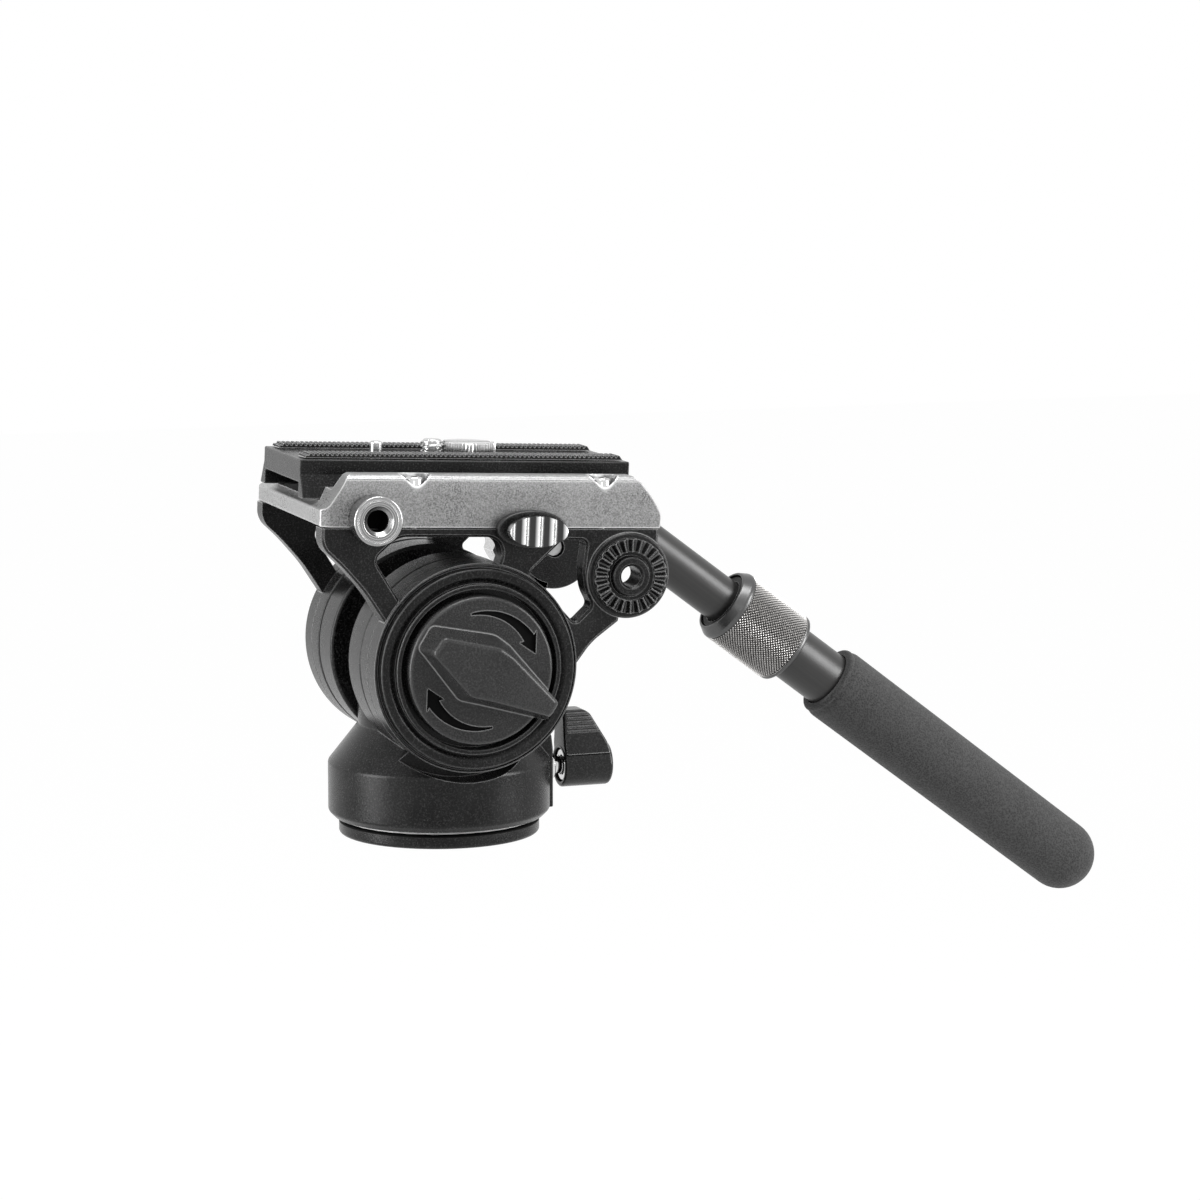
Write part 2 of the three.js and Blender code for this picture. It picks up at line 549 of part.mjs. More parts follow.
function bracketWeb(side) {
  const b = bracket;
  const top = platform.bottom - seat + b.chamfer;
  const outline = outlineOf([[b.front, top], [b.front, b.strutHeadZ, b.corner],
    [b.strutBendX, b.strutBendZ, b.corner], [b.strutKneeX, b.strutKneeZ, b.corner],
    [b.strutFootX, b.strutFootZ], [0, 0], [b.rearFootX, b.rearFootZ],
    [b.rearBendX, b.rearBendZ, b.corner], [b.rearHeelX, b.rearHeelZ], [rosette.x, rosette.z],
    [b.rear, rosette.z], [b.rear, top]]);
  const w = frontWindow;
  const front = outlineOf([[w.topLeftX, w.topLeftZ, w.corner], [w.leftX, w.leftZ, w.corner],
    [w.footX, w.footZ], [w.rightFootX, w.rightFootZ], [w.rightX, w.rightZ, w.corner],
    [w.topRightX, w.topLeftZ, w.corner]]);
  const r = rearWindow;
  const rear = outlineOf([[r.hubX, r.hubZ, r.corner], [r.topX, r.topZ, r.corner],
    [r.topRightX, r.topRightZ, r.corner], [r.waistX, r.waistZ, r.corner], [r.lowX, r.lowZ, r.corner],
    [r.noseX, r.noseZ, r.corner], [r.footX, r.footZ, r.corner]]);
  outline.holes.push(front, rear);
  const depth = b.outer - b.inner - b.chamfer;
  const geometry = new THREE.ExtrudeGeometry(outline, { depth, bevelEnabled: true,
    bevelThickness: b.chamfer, bevelSize: b.chamfer, bevelOffset: -b.chamfer, bevelSegments: 1,
    curveSegments: cornerSteps });
  geometry.rotateX(Math.PI / 2);
  geometry.translate(0, side < 0 ? -b.inner : b.outer - b.chamfer, 0);
  const reach = b.rear + b.outer;
  const web = trimmed(solidOf(geometry), side * b.inner, side * (b.outer + b.chamfer), reach);
  return web.subtract(block([-reach, reach], [-reach, reach], [platform.bottom - seat, reach]));
}

function bracketSolid(side) {
  const h = hub;
  const hubRing = turned('y', [[h.stemBore, side * h.wallInner], [h.cavityRadius, side * h.wallInner],
    [h.cavityRadius, side * h.inner], [h.radius, side * h.inner], [h.radius, side * h.shoulder],
    [h.faceRadius, side * h.face], [h.rimOuter, side * h.face], [h.rimOuter, side * h.rim],
    [h.rimInner, side * h.rim], [h.rimInner, side * h.wallOuter], [h.stemBore, side * h.wallOuter]],
    facets.large);
  const bossPlace = [rosette.x, 0, rosette.z];
  const toothRoot = rosette.face - rosette.toothDepth;
  const boss = turned('y', [[0, side * bracket.inner], [rosette.bossRadius, side * bracket.inner],
    [rosette.bossRadius, side * bracket.outer],
    [rosette.bossRadius - edge, side * (bracket.outer + edge)],
    [rosette.radius, side * (bracket.outer + edge)], [rosette.radius, side * toothRoot],
    [rosette.toothInner, side * toothRoot], [rosette.hubRadius, side * rosette.face],
    [0, side * rosette.face]],
  facets.medium, bossPlace);
  const teeth = toothedRing(rosette.toothInner, rosette.radius, side * (toothRoot - rosette.toothDepth),
    side * toothRoot, side * rosette.face, bossPlace);
  const web = cut(bracketWeb(side), [rod('y', h.radius - overrun, side * (h.inner - overrun),
    side * (h.rim + overrun), facets.large)]);
  const whole = join([web, hubRing, boss, teeth]);
  const far = side * (rosette.face + overrun);
  const near = side * (bracket.inner - overrun);
  const tools = [rod('y', rosette.bore, near, far, facets.small, bossPlace)];
  for (const x of [housingScrew.frontX, housingScrew.rearX]) {
    tools.push(rod('z', housingScrew.radius + seat, housingScrew.tip - seat, platform.bottom + overrun,
      facets.tiny, [x, side * housingScrew.y, 0]));
  }
  if (side < 0) {
    tools.push(rod('y', accessory.stemRadius + seat, near, far, facets.medium, [accessory.x, 0,
      accessory.z]));
    tools.push(slab(ovalOutline(button.x, button.z, button.stemHalfLength + seat,
      button.stemHalfHeight + seat), near, far, ovalSteps));
  }
  return cut(whole, tools);
}

// Platform housing with a dovetail channel between two rails
const channelSlope = (plate.bottomHalf - plate.topHalf) / (plate.slantTop - platform.floor - seat);
const plateLow = platform.floor + seat;
const lipFoot = plate.bottomHalf + seat + seat * channelSlope;
const lipNose = plate.bottomHalf + seat - (platform.lipTop - plateLow) * channelSlope;
const jawTop = platform.lipTop;
const jawMiddle = (plateLow + jawTop) / 2;
const jawBack = platform.railInner - seat - jaw.travel;

// Side view, cross-section and plan of the platform, whose common part is its body
function platformBody() {
  const p = platform;
  const side = slab(outlineOf([[p.front, p.bottom, edge], [p.rear, p.bottom, edge],
    [p.rearFootX, p.rearFootZ], [p.rearBendX, p.rearBendZ], [p.railRear, p.railTop, edge],
    [p.railFront, p.railTop, edge], [p.slopeFootX, p.slopeFoot], [p.front, p.slopeFoot - edge]]),
    -p.halfWidth, p.halfWidth);
  const railWidth = p.halfWidth - p.railInner;
  const railHeight = p.railTop - p.bottom;
  const outer = p.railOuterShares.map(([w, h]) => [p.halfWidth - w * railWidth,
    p.railTop - h * railHeight]);
  const nearSide = [[-lipFoot, p.floor], [-lipNose, p.lipTop], [-p.railInner, p.lipTop],
    [-p.ridge, p.railTop]];
  const farSide = [[p.ridge, p.railTop], [p.railInner, p.lipTop], [p.railInner, p.floor]];
  const section = beam([[-p.halfWidth, p.bottom], [p.halfWidth, p.bottom],
    ...outer, ...farSide, ...nearSide, ...outer.map(([y, z]) => [-y, z]).reverse()], p.front, p.rear);
  const frontHalf = p.halfWidth - p.cornerWidth;
  const planShape = new THREE.Shape([[p.front, -frontHalf], [p.front + p.cornerLength, -p.halfWidth],
    [p.rear, -p.halfWidth], [p.rear, p.halfWidth], [p.front + p.cornerLength, p.halfWidth],
    [p.front, frontHalf]].map(([x, y]) => new THREE.Vector2(x, y)));
  const planGeometry = new THREE.ExtrudeGeometry(planShape, { depth: railHeight, bevelEnabled: false });
  planGeometry.translate(0, 0, p.bottom);
  return side.intersect(section).intersect(solidOf(planGeometry));
}

function platformSolid() {
  const p = platform;
  const tools = [];
  for (const s of [-1, 1]) {
    for (const x of [housingScrew.frontX, housingScrew.rearX]) {
      const place = [x, s * housingScrew.y, 0];
      tools.push(rod('z', housingScrew.notchRadius, housingScrew.seatZ, p.railTop + overrun,
        facets.small, place));
      tools.push(rod('z', housingScrew.radius + seat, p.bottom - overrun, housingScrew.seatZ + overrun,
        facets.tiny, place));
    }
  }
  tools.push(rod('y', accessory.stemRadius + seat, -accessory.stemInner + seat, -p.halfWidth - overrun,
    facets.medium, [accessory.x, 0, accessory.z]));
  tools.push(slab(ovalOutline(button.x, button.z, button.stemHalfLength + seat,
    button.stemHalfHeight + seat), -button.stemInner + button.travel + seat, -p.halfWidth - overrun,
    ovalSteps));
  // Room under the floor for the latch arm, and a slot for the latch pin
  tools.push(block([button.x - button.armHalfWidth - seat, button.x + button.armHalfWidth + seat],
    [-button.stemInner - overrun, -button.armInner + button.travel + button.latchRadius + seat],
    [p.bottom - overrun, button.z + button.armHeight + seat]));
  tools.push(block([button.x - button.latchRadius - seat, button.x + button.latchRadius + seat],
    [-button.armInner - button.latchRadius - seat,
    -button.armInner + button.latchRadius + button.travel + seat], [button.z, p.floor + overrun]));
  tools.push(rod('y', lockScrew.radius + seat, jawBack, p.halfWidth + overrun, facets.small,
    [lockScrew.x, 0, jawMiddle]));
  return cut(platformBody(), tools);
}

function addHousingScrews(group) {
  const headBottom = housingScrew.seatZ + seat;
  const headTop = headBottom + housingScrew.headHeight;
  for (const [sideName, s] of [['near', -1], ['far', 1]]) {
    for (const [endName, x] of [['front', housingScrew.frontX], ['rear', housingScrew.rearX]]) {
      const place = [x, s * housingScrew.y, 0];
      const shape = turned('z', [[0, housingScrew.tip], [housingScrew.radius, housingScrew.tip],
        [housingScrew.radius, headBottom], [housingScrew.headRadius, headBottom],
        [housingScrew.headRadius, headTop - edge], [housingScrew.headRadius - edge, headTop],
        [0, headTop]],
      facets.small, place);
      const socket = solidOf(new THREE.CylinderGeometry(housingScrew.socketRadius,
        housingScrew.socketRadius, housingScrew.socketDepth * 2,
        hexSides).rotateX(Math.PI / 2).translate(place[0], place[1], headTop));
      addPiece(group, `${sideName}_${endName}_housing_screw`, shape.subtract(socket), finishes.chrome);
    }
  }
}

function accessorySolid() {
  const a = accessory;
  const collarBack = bracket.outer + seat;
  const solid = turned('y', [[0, -a.stemInner], [a.stemRadius, -a.stemInner], [a.stemRadius, -collarBack],
    [a.radius, -collarBack], [a.radius, -a.face + a.bevel], [a.radius - a.bevel, -a.face],
    [a.mouthRadius, -a.face], [a.boreRadius, -a.face + a.mouthDepth],
    [a.boreRadius, -a.stemInner - overrun], [0, -a.stemInner - overrun]],
  facets.medium, [a.x, 0, a.z]);
  return solid;
}

// Tilt lock knob
function knobPoint(radius, turn) {
  const angle = THREE.MathUtils.degToRad(turn);
  return new THREE.Vector2(radius * Math.cos(angle), radius * Math.sin(angle));
}

// A curved tail that starts thin and widens toward the arrow's head
function crescent(firstTurn, lastTurn) {
  const points = [];
  for (const side of [1, -1]) {
    for (let i = 0; i <= arrow.steps; i += 1) {
      const share = (side > 0 ? i : arrow.steps - i) / arrow.steps;
      const half = (arrow.tailWidth + (arrow.width - arrow.tailWidth) * share) / 2;
      points.push(knobPoint(arrow.radius + side * half, firstTurn + (lastTurn - firstTurn) * share));
    }
  }
  return new THREE.Shape(points);
}

function arrowTools(firstTurn) {
  const headStart = firstTurn - arrow.sweep;
  const low = -tiltKnob.face - overrun;
  const high = -tiltKnob.face + arrow.depth;
  const tail = slab(crescent(firstTurn, headStart), low, high);
  const tip = slab(new THREE.Shape([knobPoint(arrow.radius + arrow.headWidth / 2, headStart),
    knobPoint(arrow.radius - arrow.headWidth / 2, headStart),
    knobPoint(arrow.radius, headStart - arrow.headTurn)]), low, high);
  return [tail, tip];
}

function bladeOutline(share, narrowShare) {
  const r = bladeRoot;
  const axisTurn = Math.atan2(r.tipZ - r.tailZ, r.tipX - r.tailX);
  const along = new THREE.Vector2(Math.cos(axisTurn), Math.sin(axisTurn));
  const across = new THREE.Vector2(-along.y, along.x);
  const squeeze = ([x, z]) => {
    const point = new THREE.Vector2(x, z);
    const run = point.dot(along) * share;
    const width = point.dot(across) * narrowShare;
    return along.clone().multiplyScalar(run).add(across.clone().multiplyScalar(width));
  };
  return [[r.tailX, r.tailZ], [r.lowTailX, r.lowTailZ], [r.lowX, r.lowZ], [r.tipLowX, r.tipLowZ],
    [r.tipX, r.tipZ], [r.shoulderX, r.shoulderZ], [r.sideX, r.sideZ],
    [r.tailTopX, r.tailTopZ]].map(squeeze);
}

// A prism whose top outline is smaller than its foot
function taperedPrism(foot, top, low, high) {
  const count = foot.length;
  const positions = [];
  const push = (a, b, c) => positions.push(...a, ...b, ...c);
  const at = (point, y) => [point.x, y, point.y];
  const middle = (points) => points.reduce((sum, p) => sum.add(p),
    new THREE.Vector2()).divideScalar(count);
  const footMiddle = middle(foot);
  const topMiddle = middle(top);
  for (let i = 0; i < count; i += 1) {
    const j = (i + 1) % count;
    push(at(foot[i], low), at(foot[j], low), at(top[j], high));
    push(at(foot[i], low), at(top[j], high), at(top[i], high));
    push(at(footMiddle, low), at(foot[j], low), at(foot[i], low));
    push(at(topMiddle, high), at(top[i], high), at(top[j], high));
  }
  const geometry = new THREE.BufferGeometry();
  geometry.setAttribute('position', new THREE.Float32BufferAttribute(positions, 3));
  return solidOf(geometry);
}

function tiltKnobSolid() {
  const k = tiltKnob;
  const back = hub.wallOuter + seat;
  const disc = turned('y', [[0, -k.stemInner], [k.stemRadius, -k.stemInner], [k.stemRadius, -back],
    [k.radius, -back], [k.radius, -k.face + k.roundness], [k.radius - k.roundness, -k.face],
    [0, -k.face]], facets.large);
  const blade = taperedPrism(bladeOutline(1, 1), bladeOutline(bladeTopShare, bladeTopNarrowShare),
    -k.face + edge, -k.bladeTop);
  const bore = rod('y', tiltAxle.radius + seat, -k.stemInner + overrun, -tiltAxle.nearEnd - seat,
    facets.small);
  return cut(disc, [...arrowTools(arrow.firstTurn), ...arrowTools(arrow.secondTurn), bore]).add(blade);
}

// Release button, its bezel, spring and latch
function buttonSolid() {
  const b = button;
  const capBack = b.bezelFace + b.travel + seat;
  const cap = slab(ovalOutline(b.x, b.z, b.halfLength, b.halfHeight), -capBack, -b.face, ovalSteps);
  const stem = slab(ovalOutline(b.x, b.z, b.stemHalfLength, b.stemHalfHeight),
    -b.stemInner, -capBack - edge, ovalSteps);
  const grooves = Array.from({ length: b.ribCount }, (_, i) => {
    const x = b.x + (i - (b.ribCount - 1) / 2) * b.ribPitch;
    return block([x - b.ribWidth / 2, x + b.ribWidth / 2], [-b.face - overrun, -b.face + b.ribDepth],
      [b.z - b.halfHeight - overrun, b.z + b.halfHeight + overrun]);
  });
  return cut(cap, grooves).add(stem);
}

function bezelSolid() {
  const b = button;
  const outer = slab(ovalOutline(b.x, b.z, b.bezelHalfLength, b.bezelHalfHeight), -bracket.outer - seat,
    -b.bezelFace, ovalSteps);
  return outer.subtract(slab(ovalOutline(b.x, b.z, b.stemHalfLength + seat, b.stemHalfHeight + seat),
    -bracket.outer + overrun, -b.bezelFace - overrun, ovalSteps));
}

function latchSolid() {
  const b = button;
  const arm = block([b.x - b.armHalfWidth, b.x + b.armHalfWidth],
    [-b.stemInner + seat, -b.armInner + b.latchRadius], [platform.bottom + seat, b.z + b.armHeight]);
  const pin = rod('z', b.latchRadius, b.z, platform.floor + b.latchRise, facets.tiny, [b.x, -b.armInner,
    0]);
  return arm.add(pin);
}

// Sliding plate and what it carries
const pinRoomTop = plate.top - videoPin.cover;
const cupTop = plateLow + seat + plate.cupFloor;

function plateSolid() {
  const p = plate;
  const body = beam([[-p.bottomHalf, plateLow], [p.bottomHalf, plateLow], [p.topHalf, p.slantTop],
    [p.topHalf, p.top - edge], [p.topHalf - edge, p.top], [-p.topHalf + edge, p.top],
    [-p.topHalf, p.top - edge], [-p.topHalf, p.slantTop]], p.front, p.rear);
  const recess = block([p.front - overrun, p.rear + overrun], [-p.recessHalf, p.recessHalf],
    [plateLow - overrun, p.slab]);
  const cup = rod('z', p.cupRadius, plateLow + seat, p.slab + edge, facets.small, [videoPin.x, 0, 0]);
  const stopReach = p.travel + button.latchRadius + p.stopRadius + seat;
  const stops = [-1, 1].map((end) => rod('z', p.stopRadius, plateLow + seat, p.slab + edge, facets.tiny,
    [button.x + end * stopReach, -button.armInner, 0]));
  const holes = [
    rod('z', cameraThread.radius + seat, plateLow, p.top + overrun, facets.small, [cameraScrew.x, 0, 0]),
    rod('z', cameraThread.radius + seat, plateLow, p.top + overrun, facets.small, [spareScrew.x, 0, 0]),
    rod('z', videoPin.radius + seat, pinRoomTop - overrun, p.top + overrun, facets.small, [videoPin.x,
    0, 0]), rod('z', videoPin.flangeRadius + seat, cupTop, pinRoomTop, facets.small, [videoPin.x, 0, 0]),
  ];
  return cut(join([body.subtract(recess), cup, ...stops]), holes);
}

function stripSolid(side) {
  const s = strip;
  const bottom = plate.top + seat;
  const top = bottom + s.thickness;
  const outline = outlineOf([[s.front, bottom], [s.rear, bottom], [s.rear, top, s.thickness],
    [s.front, top, s.thickness]]);
  return slab(outline, side * s.inner, side * s.outer);
}

function cameraScrewSolid() {
  const c = cameraScrew;
  const headTop = plate.slab - seat;
  const low = headTop - c.headHeight;
  const headSolid = softRod('z', c.headRadius, low, headTop, edge / 2, facets.medium, [c.x, 0, 0]);
  const shank = threadedRod('z', cameraThread, headTop - edge, plate.top + c.rise, facets.small, [c.x,
    0, 0]);
  const slot = block([c.x - c.headRadius - overrun, c.x + c.headRadius + overrun],
    [-c.slotWidth / 2, c.slotWidth / 2], [low - overrun, low + c.slotDepth]);
  return headSolid.add(shank).subtract(slot);
}

function knurledDisc(x, low, high, radius, count, depth) {
  const shape = new THREE.Shape(Array.from({ length: count * 2 }, (_, i) => {
    const turn = (i * Math.PI) / count;
    const r = i % 2 === 0 ? radius : radius - depth;
    return new THREE.Vector2(x + r * Math.cos(turn), r * Math.sin(turn));
  }));
  const geometry = new THREE.ExtrudeGeometry(shape, { depth: high - low, bevelEnabled: false });
  geometry.translate(0, 0, low);
  return solidOf(geometry);
}

function spareScrewSolid() {
  const s = spareScrew;
  const low = plate.top + s.headGap;
  const high = low + s.headHeight;
  const headSolid = knurledDisc(s.x, low, high, s.headRadius, s.knurls, s.knurlDepth);
  const shank = threadedRod('z', cameraThread, plate.slab, low + edge, facets.small, [s.x, 0, 0]);
  const slot = block([s.x - s.headRadius - overrun, s.x + s.headRadius + overrun],
    [-s.slotWidth / 2, s.slotWidth / 2], [high - s.slotDepth, high + overrun]);
  return headSolid.add(shank).subtract(slot);
}

function videoPinSolid() {
  const v = videoPin;
  const flangeTop = pinRoomTop - seat;
  return turned('z', [[0, flangeTop - v.flange], [v.flangeRadius, flangeTop - v.flange],
    [v.flangeRadius, flangeTop], [v.radius, flangeTop], [v.radius, plate.top + v.rise - edge],
    [v.radius - edge, plate.top + v.rise], [0, plate.top + v.rise]], facets.small, [v.x, 0, 0]);
}

// A small compression coil under the pin's flange
function pinSpringSolid() {
  const { wire, turns, perTurn } = pinSpring;
  const radius = videoPin.flangeRadius - wire - seat;
  const low = cupTop + seat + wire;
  const high = pinRoomTop - seat - videoPin.flange - seat - wire;
  class Helix extends THREE.Curve {
    getPoint(t, target = new THREE.Vector3()) {
      const turn = t * turns * 2 * Math.PI;
      return target.set(videoPin.x + radius * Math.cos(turn), radius * Math.sin(turn),
        low + t * (high - low));
    }
  }
  const section = new THREE.Shape([[wire, 0], [0, wire], [-wire, 0], [0, -wire]].map(([a, b]) =>
    new THREE.Vector2(a, b)));
  return solidOf(new THREE.ExtrudeGeometry(section, { steps: turns * perTurn,
    extrudePath: new Helix() }));
}

// Plate clamp
function jawSolid() {
  const face = (z) => plate.bottomHalf + seat - (z - plateLow) * channelSlope;
  return beam([[face(plateLow), plateLow], [jawBack, plateLow], [jawBack, jawTop], [face(jawTop),
    jawTop]], -jaw.halfLength, jaw.halfLength);
}

function lockLeverSolid() {
  const l = lockLever;
  const start = platform.halfWidth + seat;
  const end = start + l.width;
  const hubSolid = softRod('y', l.hubRadius, start, end, edge, facets.medium, [lockScrew.x, 0,
    jawMiddle]);
  const tip = lockScrew.x + l.armLength;
  const armFace = end - edge / 2;
  const arm = slab(outlineOf([[lockScrew.x, jawMiddle - l.armHeight / 2],
    [tip, jawMiddle - l.tipRadius, l.tipRadius], [tip, jawMiddle + l.tipRadius, l.tipRadius],
    [lockScrew.x, jawMiddle + l.armHeight / 2]]),
  end - l.armThickness, armFace);
  const ribs = Array.from({ length: l.ribCount }, (_, i) => {
    const x = tip - l.tipRadius - i * l.ribPitch;
    return block([x, x + l.ribWidth], [end - overrun, armFace + l.ribDepth],
      [jawMiddle - l.tipRadius + edge, jawMiddle + l.tipRadius - edge]);
  });
  const bore = rod('y', lockScrew.radius + seat, start - overrun, end - overrun, facets.small,
    [lockScrew.x, 0, jawMiddle]);
  return join([hubSolid, arm, ...ribs]).subtract(bore);
}

// Cradle: brackets, housing and everything they carry, about the tilt axis
function buildCradle() {
  const group = new THREE.Group();
  group.position.z = tiltAxisHeight;
  group.rotation.y = THREE.MathUtils.degToRad(restTilt);

  addPiece(group, 'near_bracket', bracketSolid(-1), finishes.blackCast);
  addPiece(group, 'far_bracket', bracketSolid(1), finishes.blackCast);
  addPiece(group, 'platform_housing', platformSolid(), finishes.silverCast);
  addHousingScrews(group);
  addPiece(group, 'accessory_boss', accessorySolid(), finishes.silver);

  const nutIn = hub.wallOuter + seat;
  const nutOut = nutIn + axleNut.height;
  const axle = join([
    rod('y', tiltAxle.radius, -tiltAxle.nearEnd, hub.wallOuter, facets.small),
    rod('y', tiltAxle.nutThreadRadius, hub.wallInner, nutOut, facets.small),
  ]);
  addPiece(group, 'tilt_axle', axle, finishes.steel);
  const rotorIn = drum.chamberFloor + seat + carrier.thickness + running;
  for (const [side, name] of [[-1, 'near_drag_rotor'], [1, 'far_drag_rotor']]) {
    addPiece(group, name, ring('y', tiltAxle.radius + seat, rotor.radius, side * rotorIn,
      side * (rotorIn + rotor.thickness), facets.medium), finishes.steel);
  }
  const plateIn = drum.outer + running;
  const plateOut = plateIn + brakePlate.thickness;
  const pushFace = tiltKnob.stemInner - seat;
  addPiece(group, 'tilt_brake_plate', turned('y', [[tiltAxle.radius + seat, -plateIn],
    [brakePlate.radius, -plateIn], [brakePlate.radius, -plateOut], [brakePlate.hubRadius, -plateOut],
    [brakePlate.hubRadius, -pushFace], [tiltAxle.radius + seat, -pushFace]], facets.medium),
    finishes.steel);
  addPiece(group, 'tilt_lock_knob', tiltKnobSolid(), finishes.knobPlastic);

  addPiece(group, 'far_hub_bush', ring('y', tiltAxle.radius + seat, hub.stemBore - seat, hub.wallInner,
    hub.wallOuter, facets.small), finishes.brass);
  const nut = slab(new THREE.Shape(hexagonPoints(axleNut.radius, 0, 0).map(([x,
    z]) => new THREE.Vector2(x, z))), nutIn, nutOut);
  addPiece(group, 'far_axle_nut', nut.subtract(rod('y', tiltAxle.nutThreadRadius + seat, nutIn - overrun,
    nutOut + overrun, facets.small)), finishes.steel);
  const capOut = hub.rim + hubCap.proud;
  const capIn = capOut - hubCap.thickness;
  const capRadius = hub.rimInner - seat;
  addPiece(group, 'far_hub_cap', turned('y', [[0, capIn], [capRadius, capIn], [capRadius, capOut - edge],
    [capRadius - edge, capOut], [0, capOut]], facets.large), finishes.blackPlastic);

  addPiece(group, 'release_button', buttonSolid(), finishes.silver);
  addPiece(group, 'button_bezel', bezelSolid(), finishes.blackPlastic);
  addPiece(group, 'plate_latch', latchSolid(), finishes.steel);

  addPiece(group, 'camera_plate', plateSolid(), finishes.blackCast);
  addPiece(group, 'near_rubber_strip', stripSolid(-1), finishes.rubber);
  addPiece(group, 'far_rubber_strip', stripSolid(1), finishes.rubber);
  addPiece(group, 'camera_screw', cameraScrewSolid(), finishes.silver);
  addPiece(group, 'spare_screw', spareScrewSolid(), finishes.silver);
  addPiece(group, 'video_pin', videoPinSolid(), finishes.silver);
  addPiece(group, 'video_pin_spring', pinSpringSolid(), finishes.steel);

  addPiece(group, 'clamp_jaw', jawSolid(), finishes.silverCast);
  const lockScrewEnd = platform.halfWidth + lockLever.width - overrun - jaw.travel;
  addPiece(group, 'plate_lock_screw', rod('y', lockScrew.radius, jawBack + seat, lockScrewEnd, facets.small,
    [lockScrew.x, 0, jawMiddle]), finishes.steel);
  addPiece(group, 'plate_lock_lever', lockLeverSolid(), finishes.silver);
  group.add(buildBar());
  return group;
}

// Pan bar, in a frame whose x runs along the bar and whose origin is on the clamp bolt
const clampStart = rosette.face + seat;
const clampEnd = clampStart + clamp.thickness;
const barY = clampStart + bar.sleeveRadius;
const outerStart = collar.end - collet.length / 2;
const tubeEnd = outerStart + bar.travel + bar.engagement;

function clampSolid() {
  const toothRoot = clampStart + rosette.toothDepth;
  const disc = softRod('y', clamp.radius, toothRoot, clampEnd, edge, facets.medium);
  const teeth = toothedRing(rosette.toothInner, rosette.radius, toothRoot + rosette.toothDepth, toothRoot,
    clampStart, [0, 0, 0]);
  const web = slab(outlineOf([[-clamp.webHalfWidth, 0], [clamp.webHalfWidth, 0],
    [clamp.webHalfWidth, bar.offset], [-clamp.webHalfWidth, bar.offset]]),
    toothRoot + running, clampEnd - edge);
  const sleeve = softRod('x', bar.sleeveRadius, bar.sleeveStart, bar.sleeveEnd, edge, facets.medium,
    [0, barY, bar.offset]);
  const tools = [
    rod('y', clamp.boltBore, clampStart - overrun, clampEnd + overrun, facets.small),
    rod('x', bar.tubeRadius + seat, bar.boreStart - seat, bar.sleeveEnd + overrun, facets.medium,
      [0, barY, bar.offset]),
    rod('z', setScrew.radius + seat, bar.offset, bar.offset + bar.sleeveRadius + overrun, facets.small,
      [setScrew.station, barY, 0]),
  ];
  return cut(join([disc, teeth, web, sleeve]), tools);
}

function clampKnobSolid() {
  const k = clampKnob;
  const start = clampEnd + seat;
  const neckEnd = start + k.neckLength;
  const end = neckEnd + k.length;
  const solid = turned('y', [[0, start], [k.neckRadius, start], [k.neckRadius, neckEnd],
    [k.radius, neckEnd + k.bevel], [k.radius, end - k.bevel], [k.radius - k.bevel, end], [0, end]],
    facets.medium);
  const flutes = Array.from({ length: k.lobes }, (_, i) => {
    const turn = (i * 2 * Math.PI) / k.lobes;
    return rod('y', k.lobeRadius, neckEnd - overrun, end + overrun, facets.tiny,
      [(k.radius + k.lobeRadius / 2) * Math.cos(turn),
      0, (k.radius + k.lobeRadius / 2) * Math.sin(turn)]);
  });
  const bore = rod('y', clamp.boltRadius + seat, start - overrun, end - k.length / 3, facets.small);
  return cut(solid, [...flutes, bore]);
}

function gripSolid() {
  const g = grip;
  const bore = outerTube.radius + seat;
  const seatEnd = outerTube.end + seat;
  const profile = [[bore, g.start], [g.radius - g.endBevel, g.start], [g.radius, g.start + g.endBevel]];
  for (let i = 0; i <= g.domeSteps; i += 1) {
    const turn = (i * Math.PI) / (2 * g.domeSteps);
    profile.push([i === g.domeSteps ? 0 : g.domeRadius * Math.cos(turn),
      g.domeStation + g.domeRadius * Math.sin(turn)]);
  }
  profile.push([0, seatEnd], [bore, seatEnd]);
  return turned('x', profile, facets.medium, [0, barY, bar.offset]);
}

function colletSolid() {
  const inner = bar.tubeRadius + seat;
  const outer = inner + collet.wall;
  const start = collar.start + collar.mouthDepth + seat;
  const end = start + collet.length;
  const sleeve = ring('x', inner, outer, start, end, facets.medium, [0, barY, bar.offset]);
  const slots = Array.from({ length: collet.slots }, (_, i) => {
    const geometry = new THREE.BoxGeometry(collet.length * 2, collet.slotWidth, outer * 2);
    geometry.translate(start + collet.length * 2 - collet.wall * 2, 0, outer);
    geometry.rotateX((i * 2 * Math.PI) / collet.slots);
    geometry.translate(0, barY, bar.offset);
    return solidOf(geometry);
  });
  return cut(sleeve, slots);
}

